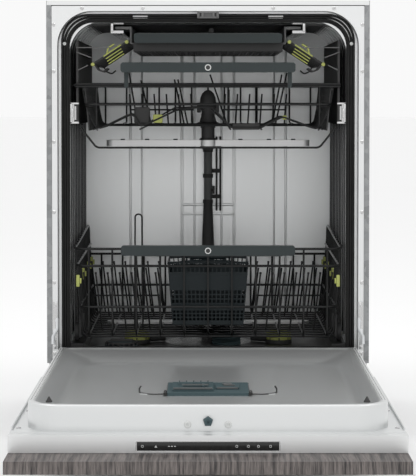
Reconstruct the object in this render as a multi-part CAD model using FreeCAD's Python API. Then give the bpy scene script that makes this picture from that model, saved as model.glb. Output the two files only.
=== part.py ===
import FreeCAD, Part
import math
import os

# A built-in dishwasher with its door open and its racks pushed in, in millimetres.
# X runs side to side, Y runs into the machine and Z up from the floor. The solids are made
# with Y = 0 at the cabinet's front plane and moved once, at the end, so that the origin is
# the middle of the whole object's footprint.

V = FreeCAD.Vector

# ---------------------------------------------------------------- cabinet
WIDTH = 596.0               # cabinet and door, side to side
HEIGHT = 820.0              # floor to top rail, with the feet screwed right in
DEPTH = 555.0               # front plane to back panel
SHEET = 1.0                 # cabinet and tub sheet
SIDE_BOTTOM = 25.0          # lower edge of the side panels
SIDE_LIP = 9.5              # folded front edge of a side panel
TOE_HEIGHT = 150.0          # the side panels are cut back below this height
TOE_DEPTH = 50.0            # how far they are cut back
TOP_RAIL = (30.0, 8.0)      # depth and height of the front rail
RAIL_SCREW_INSET = 58.0     # cabinet side to each worktop screw in the top rail
RAIL_SCREW_R = 2.5

# ---------------------------------------------------------------- tub
TUB_SIDE_GAP = 40.0         # cabinet side to tub wall
TUB_TOP_GAP = 37.0
TUB_BACK_GAP = 55.0
TUB_FLOOR = 160.0           # top of the tub's floor
TUB_R = 60.0                # upper corners
HOOP_COUNT = 7              # pressed hoops that stiffen the tub
HOOP_WIDTH = 12.0
HOOP_DEPTH = 3.0
FLOOR_SHEET = 2.0
LEDGE_WIDTH = 26.0          # rolling ledges along both sides of the floor
APRON_BOTTOM = 110.0        # the floor's front apron reaches down to here

# ---------------------------------------------------------------- front frame and seals
FRAME_SHEET = 1.2
RECESS_DEPTH = 41.0         # front plane to the seal's seat
RECESS_GAP = 3.0            # door pan to the side of its recess
FRAME_LEG = 10.0            # front face of the frame beside the recess
FRAME_BOTTOM = 118.0
FRAME_TOP_GAP = 9.5         # top rail to frame
RECESS_TOP_GAP = 19.0       # cabinet top to recess top
SEAL_THICK = 5.4
SEAL_WIDTH = 14.0
SEAL_BOTTOM = 150.0
SEAL_GAP = 0.6              # shut door pan to seal

# ---------------------------------------------------------------- door
PIVOT_Y = -16.0
PIVOT_Z = 130.0
PIN_R = 4.0
PIN_FIT = 0.08              # radial play of every pin in its hole
DOOR_TOP_GAP = 2.0          # cabinet top to the shut door's top
DOOR_FACE = -33.0           # outer sheet of the shut door, from the front plane
DOOR_BACK = -6.0            # flange of the shut door, from the front plane
DOOR_NEAR = 10.0            # the door's sheet starts this far from the pivot
DOOR_SHEET = 1.0
LINER_SHEET = 1.2
PAN_SEAL_LAP = 6.0          # the pan's top edge covers this much of the seal
PAN_FAR_R = 48.0
PAN_NEAR_R = 8.0
PAN_RIM = 39.0              # flat rim along the pan's sides, where the rack's wheels roll
PAN_DEPTH = 26.0            # rim to the pan's floor
PAN_NEAR_SLOPE = 60.0       # length of the slope beside the hinge
FASCIA_DEPTH = 20.0
FASCIA_WALL = 2.0
GLASS = (212.0, 13.4, 1.5)  # control window: width, height, thickness
GLASS_DROP = 9.6            # fascia top to window top
PANEL_THICK = 19.0          # furniture panel
PANEL_OVERHANG = 65.0       # past the fascia
PANEL_NEAR = 25.0           # past the pivot, towards the plinth
LATCH = (16.0, 12.0, 19.0)  # hook: width, reach, height
LATCH_LIFT = 17.0           # pivot to the hook's lower face

# ---------------------------------------------------------------- dispenser
DISPENSER = (128.0, 110.0)
DISPENSER_SETBACK = 308.0   # pan's far wall to the dispenser's middle
DISPENSER_DEPTH = 35.0
DISPENSER_LIP = 5.0
LID_THICK = 3.0
CUP = (56.0, 78.0, 26.0)    # detergent cup: width, length, depth

# ---------------------------------------------------------------- racks
WIRE = 4.0
RACK_LEAD = 4.2             # the racks start this far in front of the tub
RACK_BACK_GAP = 28.0        # rack to the tub's rear wall
RACK_SIDE_GAP = 18.0        # rack to the tub's side walls
RACK_LIFT = 28.0            # rolling ledge to the lower rack's floor
LOWER_WALLS = (153.0, 169.0)        # height of the front wall and of the others
HANDLE_DEPTH = 16.0
HANDLE_HEIGHT = 18.5
HANDLE_INSET = 78.0         # rack side to the end of its bar handle
HANDLE_REACH = 22.0         # bar's front to the rack's front wall
LOWER_HANDLE_LIFT = 139.0   # rack floor to the underside of its bar
WHEEL_R = 17.0
WHEEL_WIDTH = 8.0
WHEEL_GAP = 0.4             # wheel to ledge
WHEEL_INSET = 52.0          # rack end to wheel axle
TINE_HEIGHT = 92.0
TINE_INSETS = (102.0, 82.0)         # front and rear fixed rows, from the rack's ends
TINE_GAPS = (12.0, 14.0)    # rows to the basket and to the rack's side
TINE_PITCH = 22.0
PIVOT_STUB = 5.0            # round end of a folding row's base wire
BASKET = (152.0, 130.0, 115.0)
BASKET_INSET = 16.0         # rack front to basket
BASKET_WALL = 2.5
UPPER_DROP = 200.0          # tub ceiling to the upper rack's floor
UPPER_SIDE_GAP = 20.0
UPPER_WALL = 85.0
UPPER_HANDLE_LIFT = 105.5
UPPER_TINE = (30.0, 150.0)  # span from the middle
UPPER_TINE_INSET = 192.0
GUARD_DROP = 36.0           # upper rack's floor to the guard wire
GUARD_INSET = 30.0
RAIL_THICK = 8.0
SLIDE_GAP = 0.4             # between rail, middle member and side plate
SLIDE_THICK = 3.2
PLATE_THICK = 4.0
RAIL_LIFTS = (13.0, 47.0)   # upper rack's floor to the rail's edges
SLIDE_INSET = 4.0           # rail's edge to the middle member's edge
PLATE_LIFTS = (9.0, 165.0)
SHELF_INSET = 22.0          # rack side to the shelf's hinge
SHELF_LIFT = 121.0
SHELF_SPAN = 78.0
SHELF_TILT = 33.5
TRAY_GAP = 76.0             # shelf hinge to the tray's side
TRAY_DROPS = (55.0, 38.0)   # tub ceiling to the tray's floor and rim
TRAY_WEB = 6.0              # the runner stands this far out from the tray
TRAY_INSET = 22.0           # rack front to tray front
TRAY_BAR = (2.0, 16.0, 18.0)        # end inset, depth and height of the tray's bar
TRAY_RAIL = (18.0, 42.0)    # ceiling rail's edges, from the tray's side
TRAY_RAIL_HEIGHT = 21.0

# ---------------------------------------------------------------- water parts
SUMP_SETBACK = 255.0        # sump's axis to the tub's rear wall
SUMP_R = 84.0
SUMP_BOTTOM = 96.0
HUB_OFFSET = 13.0           # lower arm's axis behind the sump's
UPPER_HUB_OFFSET = 15.0
ARM_SIDE_GAPS = (40.0, 37.0)        # rack side to arm tip, lower and upper
ARM_REAR_GAPS = (42.0, 39.0)        # tub's rear wall to arm tip, past the riser
LOWER_ARM = (30.0, 11.0)    # width and thickness
LOWER_ARM_LIFT = 28.0       # tub floor to the arm
UPPER_ARM = (26.0, 12.0)
UPPER_ARM_DROP = 37.0       # upper rack's floor to the arm
FILTER_X, FILTER_OFFSET, FILTER_R = 36.0, 37.0, 28.0
JET_GAP, JET_OFFSET, JET_R = 55.0, 23.0, 24.0
JET_HEIGHT = 22.0
PUMP_GAP = 34.0             # sump's side to the faces of both pumps
PUMP_OFFSETS = (45.0, 85.0)         # circulation pump's inlet and shaft, behind the sump's axis
DRAIN_OFFSETS = (35.0, 55.0)
RISER_TOP = 170.0           # tub floor to the top of the wide riser
RISER_TAPER = 98.0
SALT_SIDE_GAP, SALT_OFFSET, SALT_R = 67.0, 127.0, 32.0
PIPE_R = 7.5
FEED_DROP = 12.0            # upper rack's floor to its feed pipe

# ---------------------------------------------------------------- base
BASE_BOTTOM = 22.0
BASE_TOP = 62.0
BASE_WALL = 3.0
BASE_FRONT = 60.0
FOOT_R = 20.0
FOOT_STEM_R = 5.0
FOOT_HEIGHT = 8.0
FOOT_STEM_TOP = 58.0
FRONT_FOOT_INSET = (48.0, 100.0)    # from the side and from the front
REAR_FOOT_INSET = 40.0
BALLAST_INSET = 98.0        # cabinet side to ballast
BALLAST_HEIGHT = 36.0
BALLAST_INSETS = (115.0, 65.0)      # its front and back, from the back panel
VALVE_INSET = 36.0          # cabinet side to the inlet valve
SPIGOT_LENGTH = 40.0

# ---------------------------------------------------------------- worked-out places
HALF = WIDTH / 2
TUB_HALF = HALF - TUB_SIDE_GAP
TUB_TOP = HEIGHT - TUB_TOP_GAP
TUB_BACK = DEPTH - TUB_BACK_GAP
LEDGE_TOP = PIVOT_Z + RECESS_DEPTH - SEAL_THICK - SEAL_GAP - PIVOT_Y
TUB_FRONT = RECESS_DEPTH + FRAME_SHEET
RECESS_HALF = HALF - FRAME_LEG - FRAME_LEG
RECESS_TOP = HEIGHT - RECESS_TOP_GAP
PAN_HALF = RECESS_HALF - RECESS_GAP
SEAL_TOP = TUB_TOP + 12.0
SEAL_HALF = PAN_HALF - 1.0
RACK_FRONT = TUB_FRONT - RACK_LEAD
RACK_BACK = TUB_BACK - RACK_BACK_GAP
RACK_HALF = TUB_HALF - RACK_SIDE_GAP
HANDLE_FRONT = RACK_FRONT - HANDLE_REACH
HANDLE_HALF = RACK_HALF - HANDLE_INSET
LOWER_BASE = LEDGE_TOP + RACK_LIFT
LOWER_FRONT_TOP, LOWER_SIDE_TOP = LOWER_BASE + LOWER_WALLS[0], LOWER_BASE + LOWER_WALLS[1]
LOWER_HANDLE_Z = LOWER_BASE + LOWER_HANDLE_LIFT
WHEEL_Y = (RACK_FRONT + WHEEL_INSET, RACK_BACK - WHEEL_INSET)
TINE_FIXED_Y = (RACK_FRONT + TINE_INSETS[0], RACK_BACK - TINE_INSETS[1])
TINE_FOLD_Y = (TINE_FIXED_Y[0] + TINE_FIXED_Y[1]) / 2 - 15.0
TINE_SPAN = (BASKET[0] / 2 + TINE_GAPS[0], RACK_HALF - TINE_GAPS[1])
BASKET_Y = RACK_FRONT + BASKET_INSET
UPPER_BASE = TUB_TOP - UPPER_DROP
UPPER_HALF = TUB_HALF - UPPER_SIDE_GAP
UPPER_TOP = UPPER_BASE + UPPER_WALL
UPPER_HANDLE_Z = UPPER_BASE + UPPER_HANDLE_LIFT
UPPER_TINE_Y = RACK_FRONT + UPPER_TINE_INSET
GUARD_HALF = UPPER_HALF - GUARD_INSET
RAIL_IN = TUB_HALF - RAIL_THICK
SLIDE = (RAIL_IN - SLIDE_GAP - SLIDE_THICK, RAIL_IN - SLIDE_GAP)
CARRIAGE = (SLIDE[0] - SLIDE_GAP - PLATE_THICK, SLIDE[0] - SLIDE_GAP)
CARRIAGE_Z = (UPPER_BASE + PLATE_LIFTS[0], UPPER_BASE + PLATE_LIFTS[1])
RAIL_Z = (UPPER_BASE + RAIL_LIFTS[0], UPPER_BASE + RAIL_LIFTS[1])
SLIDE_Z = (RAIL_Z[0] + SLIDE_INSET, RAIL_Z[1] - SLIDE_INSET)
SHELF_HINGE = (UPPER_HALF - SHELF_INSET, UPPER_BASE + SHELF_LIFT)
TRAY_HALF = SHELF_HINGE[0] - TRAY_GAP
TRAY_Z = (TUB_TOP - TRAY_DROPS[0], TUB_TOP - TRAY_DROPS[1])
TRAY_FRONT = RACK_FRONT + TRAY_INSET
TRAY_RAIL_X = (TRAY_HALF + TRAY_RAIL[0], TRAY_HALF + TRAY_RAIL[1])
SUMP_Y = TUB_BACK - SUMP_SETBACK
HUB_Y = SUMP_Y + HUB_OFFSET
UPPER_HUB_Y = SUMP_Y + UPPER_HUB_OFFSET
LOWER_ARM_HALF = min(RACK_HALF - ARM_SIDE_GAPS[0], TUB_BACK - HUB_Y - ARM_REAR_GAPS[0])
UPPER_ARM_HALF = min(UPPER_HALF - ARM_SIDE_GAPS[1], TUB_BACK - UPPER_HUB_Y - ARM_REAR_GAPS[1])
LOWER_ARM_Z = TUB_FLOOR + LOWER_ARM_LIFT
UPPER_ARM_Z = UPPER_BASE - UPPER_ARM_DROP
FEED_Z = UPPER_BASE - FEED_DROP
FILTER_Y = SUMP_Y - FILTER_OFFSET
JET_X, JET_Y, JET_TOP = SUMP_R + JET_GAP, SUMP_Y - JET_OFFSET, TUB_FLOOR + JET_HEIGHT
SALT_X, SALT_Y = -(TUB_HALF - LEDGE_WIDTH - SALT_SIDE_GAP), SUMP_Y - SALT_OFFSET
FRONT_FOOT = (HALF - FRONT_FOOT_INSET[0], FRONT_FOOT_INSET[1])
REAR_FOOT_Y = DEPTH - REAR_FOOT_INSET


def open_y(shut_z):
    """Y, with the door open, of what is at height shut_z on the shut door."""
    return PIVOT_Y + PIVOT_Z - shut_z


def open_z(shut_y):
    """Height, with the door open, of what is at depth shut_y on the shut door."""
    return PIVOT_Z + shut_y - PIVOT_Y


RIM_Z = open_z(RECESS_DEPTH - SEAL_THICK - SEAL_GAP)
PAN_Z = RIM_Z - PAN_DEPTH
FLANGE_Z = open_z(DOOR_BACK)
SKIN_Z = open_z(DOOR_FACE)
FASCIA_FRONT = open_y(HEIGHT - DOOR_TOP_GAP)
FASCIA_BACK = FASCIA_FRONT + FASCIA_DEPTH
PAN_FAR = open_y(SEAL_TOP - SEAL_WIDTH + PAN_SEAL_LAP)
PAN_NEAR = PIVOT_Y + DOOR_NEAR
DOOR_START = PIVOT_Y - DOOR_NEAR
FOOTPRINT_FRONT = FASCIA_FRONT - PANEL_OVERHANG
DISPENSER_Y = PAN_FAR + DISPENSER_SETBACK
Y_SHIFT = -(FOOTPRINT_FRONT + DEPTH) / 2


# ---------------------------------------------------------------- shapes
def box(x, y, z):
    """A block from its three (low, high) pairs."""
    return Part.makeBox(x[1] - x[0], y[1] - y[0], z[1] - z[0], V(x[0], y[0], z[0]))


def across(half, y, z):
    """A block centred on X = 0."""
    return box((-half, half), y, z)


def rod(radius, start, end):
    """A round rod from one point to another."""
    run = V(*end) - V(*start)
    return Part.makeCylinder(radius, run.Length, V(*start), run)


def fuse(shapes):
    """One shape from several that touch."""
    return shapes[0].multiFuse(shapes[1:]).removeSplitter()


def cut(shape, tools):
    """The shape without the tools."""
    return shape.cut(tools)


def mirror_x(shape):
    return shape.mirror(V(0, 0, 0), V(1, 0, 0))


def pair(shape):
    """A left and a right piece as one group of separate solids."""
    return Part.makeCompound([shape, mirror_x(shape)])


def group(shapes):
    return Part.makeCompound(shapes)


def polygon_prism(points, direction):
    """A flat polygon swept along a direction."""
    wire = Part.makePolygon([V(*p) for p in points] + [V(*points[0])])
    return Part.Face(wire).extrude(V(*direction))


def arch(half, bottom, top, radius, y):
    """A block with two rounded upper corners, seen from the front."""
    k = radius * (1 - math.sqrt(0.5))
    p = [V(-half, 0, bottom), V(-half, 0, top - radius), V(-half + k, 0, top - k),
         V(-half + radius, 0, top), V(half - radius, 0, top), V(half - k, 0, top - k),
         V(half, 0, top - radius), V(half, 0, bottom)]
    edges = [Part.LineSegment(p[0], p[1]), Part.Arc(p[1], p[2], p[3]), Part.LineSegment(p[3], p[4]),
             Part.Arc(p[4], p[5], p[6]), Part.LineSegment(p[6], p[7]), Part.LineSegment(p[7], p[0])]
    face = Part.Face(Part.Wire([edge.toShape() for edge in edges]))
    face.translate(V(0, y[0], 0))
    return face.extrude(V(0, y[1] - y[0], 0))


def arch_shell(half, bottom, top, radius, wall, y):
    """An arch-shaped sheet, open below; half, top and radius are its inside."""
    outer = arch(half + wall, bottom, top + wall, radius + wall, y)
    return outer.cut(arch(half, bottom - 1, top, radius, y))


def pan_block(inset, z):
    """The door pan's outline, drawn in by an inset, between two heights."""
    block = across(PAN_HALF - inset, (PAN_FAR + inset, PAN_NEAR - inset), z)
    far = [e for e in upright_edges(block) if e.CenterOfMass.y < PAN_FAR + inset + 1]
    block = block.makeFillet(PAN_FAR_R - inset, far)
    near = [e for e in upright_edges(block) if e.CenterOfMass.y > PAN_NEAR - inset - 1]
    return block.makeFillet(PAN_NEAR_R - inset, near)


def upright_edges(shape):
    """The shape's straight edges along Z."""
    return [e for e in shape.Edges if e.BoundBox.XLength < 1e-6 and e.BoundBox.YLength < 1e-6]


def windows(low, high, pitch, bar):
    """Even (low, high) openings between bars along one direction."""
    count = max(1, round((high - low - bar) / pitch))
    step = (high - low - bar) / count
    return [(low + bar + i * step, low + (i + 1) * step) for i in range(count)]


def grid(origin, u_axis, v_axis, u, v, pitch, bar=WIRE):
    """A flat panel of crossing bars, bar thick, standing on the plane through origin."""
    base, along, up = V(*origin), V(*u_axis), V(*v_axis)

    def ring(us, vs):
        corners = [(us[0], vs[0]), (us[1], vs[0]), (us[1], vs[1]), (us[0], vs[1]), (us[0], vs[0])]
        return Part.makePolygon([base + along * a + up * b for a, b in corners])

    holes = [ring(us, vs) for us in windows(u[0], u[1], pitch[0], bar)
             for vs in windows(v[0], v[1], pitch[1], bar)]
    face = Part.makeFace([ring(u, v)] + holes, "Part::FaceMakerCheese")
    return face.extrude(along.cross(up) * bar)


def comb(y, spans, base_z, height, pitch, lean=0.0):
    """A row of tines standing on one wire that runs across the rack."""
    left, right = spans
    count = round((right - left - WIRE) / pitch)
    step = (right - left - WIRE) / count
    points = [(left, y, base_z), (right, y, base_z), (right, y, base_z + WIRE)]
    for i in range(count, -1, -1):
        x = left + i * step
        points += [(x + WIRE, y, base_z + WIRE), (x + WIRE + lean, y, base_z + height),
                   (x + lean, y, base_z + height), (x, y, base_z + WIRE)]
    tidy = [p for i, p in enumerate(points) if i == 0 or p != points[i - 1]]
    return polygon_prism(tidy, (0, WIRE, 0))


def pivoted_comb(y, spans, base_z, height, pitch):
    """A comb whose base wire ends in two round pivots."""
    ends = [(spans[0] - PIVOT_STUB, spans[0] + 1), (spans[1] - 1, spans[1] + PIVOT_STUB)]
    stubs = [rod(WIRE / 2, (x[0], y + WIRE / 2, base_z + WIRE / 2), (x[1], y + WIRE / 2, base_z + WIRE / 2))
             for x in ends]
    return fuse([comb(y, spans, base_z, height, pitch)] + stubs)


def spray_arm(reach, size, z, y, rise=0.0):
    """A long flat arm with round ends, jets on top and a hub at its middle."""
    width, thick = size
    half = reach - width / 2
    blade = across(half, (y - width / 2, y + width / 2), (z, z + thick))
    ends = [rod(width / 2, (s * half, y, z), (s * half, y, z + thick)) for s in (-1, 1)]
    hub = rod(width * 0.75, (0, y, z - rise), (0, y, z + thick))
    jets = [rod(3.0, (x, y, z + thick - 1), (x, y, z + thick + 2))
            for x in (-0.84 * reach, -0.6 * reach, -0.32 * reach, 0.32 * reach, 0.6 * reach, 0.84 * reach)]
    return fuse([blade, hub] + ends + jets)


# ---------------------------------------------------------------- cabinet pieces
def side_panel():
    """The right-hand side sheet, with a folded front edge and a toe recess."""
    outline = [(HALF, 0, TOE_HEIGHT), (HALF, 0, HEIGHT), (HALF, DEPTH, HEIGHT),
               (HALF, DEPTH, SIDE_BOTTOM), (HALF, TOE_DEPTH, SIDE_BOTTOM), (HALF, TOE_DEPTH, TOE_HEIGHT)]
    wall = polygon_prism(outline, (-SHEET, 0, 0))
    lip = box((HALF - SIDE_LIP, HALF), (0, SHEET), (TOE_HEIGHT, HEIGHT - TOP_RAIL[1]))
    back_lip = box((HALF - 20, HALF), (DEPTH - SHEET, DEPTH), (SIDE_BOTTOM, HEIGHT))
    return fuse([wall, lip, back_lip])


def back_panel():
    """The rear sheet, open at the bottom for the hoses."""
    return across(HALF - SHEET, (DEPTH - 2 * SHEET, DEPTH - SHEET), (APRON_BOTTOM, HEIGHT - SHEET))


def top_panel():
    """The sheet that closes the top behind the front rail."""
    return across(HALF - SHEET, (TOP_RAIL[0], DEPTH - 2 * SHEET), (HEIGHT - SHEET, HEIGHT))


def top_rail():
    """The front cross rail, a folded channel with two worktop screw holes."""
    depth, height = TOP_RAIL
    outer = across(HALF - SHEET, (0, depth), (HEIGHT - height, HEIGHT))
    hollow = across(HALF, (SHEET, depth + 1), (HEIGHT - height - 1, HEIGHT - SHEET))
    holes = [rod(RAIL_SCREW_R, (s * (HALF - RAIL_SCREW_INSET), depth / 2, HEIGHT - 5),
                 (s * (HALF - RAIL_SCREW_INSET), depth / 2, HEIGHT + 1)) for s in (-1, 1)]
    return cut(outer, [hollow] + holes)


def front_frame():
    """The folded sheet round the tub's mouth: front face, recess wall and seal seat."""
    face_half = RECESS_HALF + FRAME_LEG
    face = arch(face_half, FRAME_BOTTOM, HEIGHT - FRAME_TOP_GAP, 2.0, (0, FRAME_SHEET))
    face = face.cut(arch(RECESS_HALF, 0, RECESS_TOP, TUB_R + 4, (-1, FRAME_SHEET + 1)))
    wall = arch_shell(RECESS_HALF, FRAME_BOTTOM, RECESS_TOP, TUB_R + 4, FRAME_SHEET, (0, TUB_FRONT))
    seat = arch(RECESS_HALF + FRAME_SHEET / 2, FRAME_BOTTOM, RECESS_TOP + FRAME_SHEET / 2, TUB_R + 4,
                (RECESS_DEPTH, TUB_FRONT))
    seat = seat.cut(arch(TUB_HALF, 0, TUB_TOP, TUB_R, (0, TUB_FRONT + 1)))
    slot = box((HALF - 17, HALF - 11), (-1, FRAME_SHEET + 1), (0, TOE_HEIGHT))
    return cut(fuse([face, wall, seat]), [slot, mirror_x(slot)])


def door_seals():
    """The black seal round the sides and top, and the strip along the bottom."""
    ring = arch_shell(SEAL_HALF - SEAL_WIDTH, SEAL_BOTTOM, SEAL_TOP - SEAL_WIDTH, TUB_R - 8, SEAL_WIDTH,
                      (RECESS_DEPTH - SEAL_THICK, RECESS_DEPTH))
    strip = across(TUB_HALF - 4, (RECESS_DEPTH - 4, TUB_FRONT), (SEAL_BOTTOM - 12, SEAL_BOTTOM - 1))
    return group([ring, strip])


def tub_wrapper():
    """The sides and ceiling in one bent sheet, stiffened by pressed hoops."""
    bottom = TUB_FLOOR - 20
    outside = [arch(TUB_HALF + SHEET, bottom, TUB_TOP + SHEET, TUB_R + SHEET, (TUB_FRONT, TUB_BACK))]
    inside = [arch(TUB_HALF, bottom - 1, TUB_TOP, TUB_R, (TUB_FRONT - 1, TUB_BACK + 1))]
    pitch = (TUB_BACK - TUB_FRONT) / (HOOP_COUNT + 0.5)
    for i in range(HOOP_COUNT):
        y = TUB_FRONT + (i + 0.75) * pitch
        outside.append(arch(TUB_HALF + SHEET + HOOP_DEPTH, bottom, TUB_TOP + SHEET + HOOP_DEPTH,
                            TUB_R + SHEET + HOOP_DEPTH, (y - HOOP_WIDTH / 2, y + HOOP_WIDTH / 2)))
        inside.append(arch(TUB_HALF + HOOP_DEPTH, bottom - 1, TUB_TOP + HOOP_DEPTH, TUB_R + HOOP_DEPTH,
                           (y - HOOP_WIDTH / 2 + SHEET, y + HOOP_WIDTH / 2 - SHEET)))
    return outside[0].multiFuse(outside[1:]).cut(inside)


def tub_back():
    """The tub's rear wall."""
    return arch(TUB_HALF + SHEET, TUB_FLOOR - 20, TUB_TOP + SHEET, TUB_R + SHEET,
                (TUB_BACK, TUB_BACK + SHEET))


def tub_floor():
    """The tub's floor, with rolling ledges, a front apron and holes for sump and salt."""
    under = TUB_FLOOR - FLOOR_SHEET
    block = across(TUB_HALF, (TUB_FRONT, TUB_BACK), (under, LEDGE_TOP))
    basin = across(TUB_HALF - LEDGE_WIDTH, (TUB_FRONT + 4, TUB_BACK + 1), (TUB_FLOOR, LEDGE_TOP + 1))
    lip = across(TUB_HALF - LEDGE_WIDTH, (TUB_FRONT - 1, TUB_FRONT + 5), (LEDGE_TOP - 5, LEDGE_TOP + 1))
    ledge_hollow = box((TUB_HALF - LEDGE_WIDTH + FLOOR_SHEET, TUB_HALF - FLOOR_SHEET),
                       (TUB_FRONT + 4, TUB_BACK - 4), (under - 1, LEDGE_TOP - FLOOR_SHEET))
    apron = across(TUB_HALF, (TUB_FRONT, TUB_FRONT + FLOOR_SHEET), (APRON_BOTTOM, under))
    sump_hole = rod(SUMP_R + 0.5, (0, SUMP_Y, under - 1), (0, SUMP_Y, TUB_FLOOR + 1))
    salt_hole = rod(SALT_R - 4, (SALT_X, SALT_Y, under - 1), (SALT_X, SALT_Y, TUB_FLOOR + 1))
    tools = [basin, lip, ledge_hollow, mirror_x(ledge_hollow), sump_hole, salt_hole]
    return cut(fuse([block, apron]), tools)


def base_pan():
    """The moulded tray under the machine, with a raised front and bored foot bosses."""
    back = DEPTH - 2 * SHEET
    tray = across(HALF - SHEET, (BASE_FRONT, back), (BASE_BOTTOM, BASE_TOP))
    hollow = across(HALF - SHEET - BASE_WALL, (BASE_FRONT + BASE_WALL, back - BASE_WALL),
                    (BASE_BOTTOM + BASE_WALL, BASE_TOP + 1))
    front = across(HALF - SHEET, (BASE_FRONT, BASE_FRONT + BASE_WALL), (BASE_TOP - 1, APRON_BOTTOM + 4))
    places = [(FRONT_FOOT[0], FRONT_FOOT[1]), (-FRONT_FOOT[0], FRONT_FOOT[1]), (0, REAR_FOOT_Y)]
    bosses = [rod(13, (x, y, BASE_BOTTOM), (x, y, BASE_TOP)) for x, y in places]
    bores = [rod(FOOT_STEM_R + PIN_FIT, (x, y, BASE_BOTTOM - 1), (x, y, BASE_TOP + 1)) for x, y in places]
    return cut(fuse([cut(tray, [hollow]), front] + bosses), bores)


def foot(x, y):
    """A levelling foot: pad, hexagon and stem."""
    pad = Part.makeCone(FOOT_R, FOOT_R * 0.8, FOOT_HEIGHT, V(x, y, 0))
    neck = rod(FOOT_STEM_R * 1.8, (x, y, FOOT_HEIGHT), (x, y, BASE_BOTTOM - 0.5))
    stem = rod(FOOT_STEM_R, (x, y, FOOT_HEIGHT), (x, y, FOOT_STEM_TOP))
    return fuse([pad, neck, stem])


def ballast():
    """The counterweight that keeps the machine on its feet with the door open."""
    low = BASE_BOTTOM + BASE_WALL
    return across(HALF - BALLAST_INSET, (DEPTH - BALLAST_INSETS[0], DEPTH - BALLAST_INSETS[1]),
                  (low, low + BALLAST_HEIGHT))


def hinge_bracket():
    """The right-hand hinge plate and its pin, fixed in the frame's hollow."""
    x0 = HALF - 15.5
    plate = polygon_prism([(x0, PIVOT_Y, PIVOT_Z - 9), (x0, 30, PIVOT_Z - 9), (x0, 34, 240),
                           (x0, 12, 240), (x0, 4, PIVOT_Z + 30), (x0, 4, PIVOT_Z + 9),
                           (x0, PIVOT_Y, PIVOT_Z + 9)], (3, 0, 0))
    eye = rod(9, (x0, PIVOT_Y, PIVOT_Z), (x0 + 3, PIVOT_Y, PIVOT_Z))
    pin = rod(PIN_R, (x0 - 2, PIVOT_Y, PIVOT_Z), (x0 + 12, PIVOT_Y, PIVOT_Z))
    return fuse([plate, eye, pin])


def door_spring():
    """One of the two springs that balance the door, a closed coil with end eyes."""
    x, z = HALF - 24, 92.0
    coil = rod(8, (x, 110, z), (x, 330, z)).cut(rod(6, (x, 109, z), (x, 331, z)))
    eye = rod(2, (x, 330, z + 7), (x, 380, z + 7))
    hook = rod(2, (x, 80, z + 7), (x, 112, z + 7))
    return fuse([coil, eye, hook])


def latch_receiver():
    """The catch over the tub's mouth, slotted for the door's hook."""
    block = across(19, (1, RECESS_DEPTH - SEAL_THICK - 1.5), (RECESS_TOP - 11.5, RECESS_TOP))
    slot = across(LATCH[0] / 2 + 2, (0, 25), (RECESS_TOP - 13, RECESS_TOP - 1))
    return cut(block, [slot])


# ---------------------------------------------------------------- water parts in the cabinet
def sump():
    """The sump under the floor, with a flange, a hub post and a filter seat."""
    cup = rod(SUMP_R, (0, SUMP_Y, SUMP_BOTTOM), (0, SUMP_Y, TUB_FLOOR - FLOOR_SHEET))
    flange = rod(SUMP_R + 11, (0, SUMP_Y, TUB_FLOOR - FLOOR_SHEET - 3), (0, SUMP_Y, TUB_FLOOR - FLOOR_SHEET))
    inside = rod(SUMP_R - 3, (0, SUMP_Y, SUMP_BOTTOM + 3), (0, SUMP_Y, TUB_FLOOR))
    post = rod(12, (0, HUB_Y, SUMP_BOTTOM), (0, HUB_Y, LOWER_ARM_Z - 8))
    spigot = rod(7, (0, HUB_Y, LOWER_ARM_Z - 9), (0, HUB_Y, LOWER_ARM_Z + 8))
    return fuse([cut(fuse([cup, flange]), [inside]), post, spigot])


def filter_plate():
    """The fine steel plate over the sump, with holes for the hub post and the filter cup."""
    low = TUB_FLOOR - FLOOR_SHEET
    disc = rod(SUMP_R, (0, SUMP_Y, low), (0, SUMP_Y, low + 2))
    post = rod(12.5, (0, HUB_Y, low - 1), (0, HUB_Y, low + 3))
    cup = rod(FILTER_R + 0.5, (FILTER_X, FILTER_Y, low - 1), (FILTER_X, FILTER_Y, low + 3))
    return cut(disc, [post, cup])


def filter_cup():
    """The coarse filter, a mesh cup with a grip on top."""
    low, top = SUMP_BOTTOM + 6, TUB_FLOOR + 5
    cup = rod(FILTER_R, (FILTER_X, FILTER_Y, low), (FILTER_X, FILTER_Y, top))
    inside = rod(FILTER_R - 2, (FILTER_X, FILTER_Y, low + 2), (FILTER_X, FILTER_Y, top + 1))
    grip = box((FILTER_X - FILTER_R + 1, FILTER_X + FILTER_R - 1), (FILTER_Y - 3, FILTER_Y + 3),
               (top - 8, top + 8))
    return fuse([cut(cup, [inside]), grip])


def circulation_pump():
    """The main pump and its motor, joined to the sump."""
    x = SUMP_R + PUMP_GAP
    shaft_y = SUMP_Y + PUMP_OFFSETS[1]
    volute = rod(44, (x, shaft_y, 112), (x + 32, shaft_y, 112))
    motor = rod(34, (x + 32, shaft_y, 112), (x + 114, shaft_y, 112))
    inlet = rod(15, (SUMP_R - 24, SUMP_Y + PUMP_OFFSETS[0], 118), (x + 2, shaft_y, 118))
    body = cut(fuse([volute, motor, inlet]), [rod(SUMP_R + 0.3, (0, SUMP_Y, 90), (0, SUMP_Y, 150))])
    return body


def drain_pump():
    """The small drain pump on the sump's left side."""
    x = -SUMP_R - PUMP_GAP
    shaft_y = SUMP_Y + DRAIN_OFFSETS[1]
    head = rod(24, (x - 22, shaft_y, 122), (x, shaft_y, 122))
    motor = rod(19, (x - 62, shaft_y, 122), (x - 22, shaft_y, 122))
    neck = rod(11, (x - 2, shaft_y, 122), (24 - SUMP_R, SUMP_Y + DRAIN_OFFSETS[0], 122))
    return cut(fuse([head, motor, neck]), [rod(SUMP_R + 0.3, (0, SUMP_Y, 90), (0, SUMP_Y, 150))])


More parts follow.
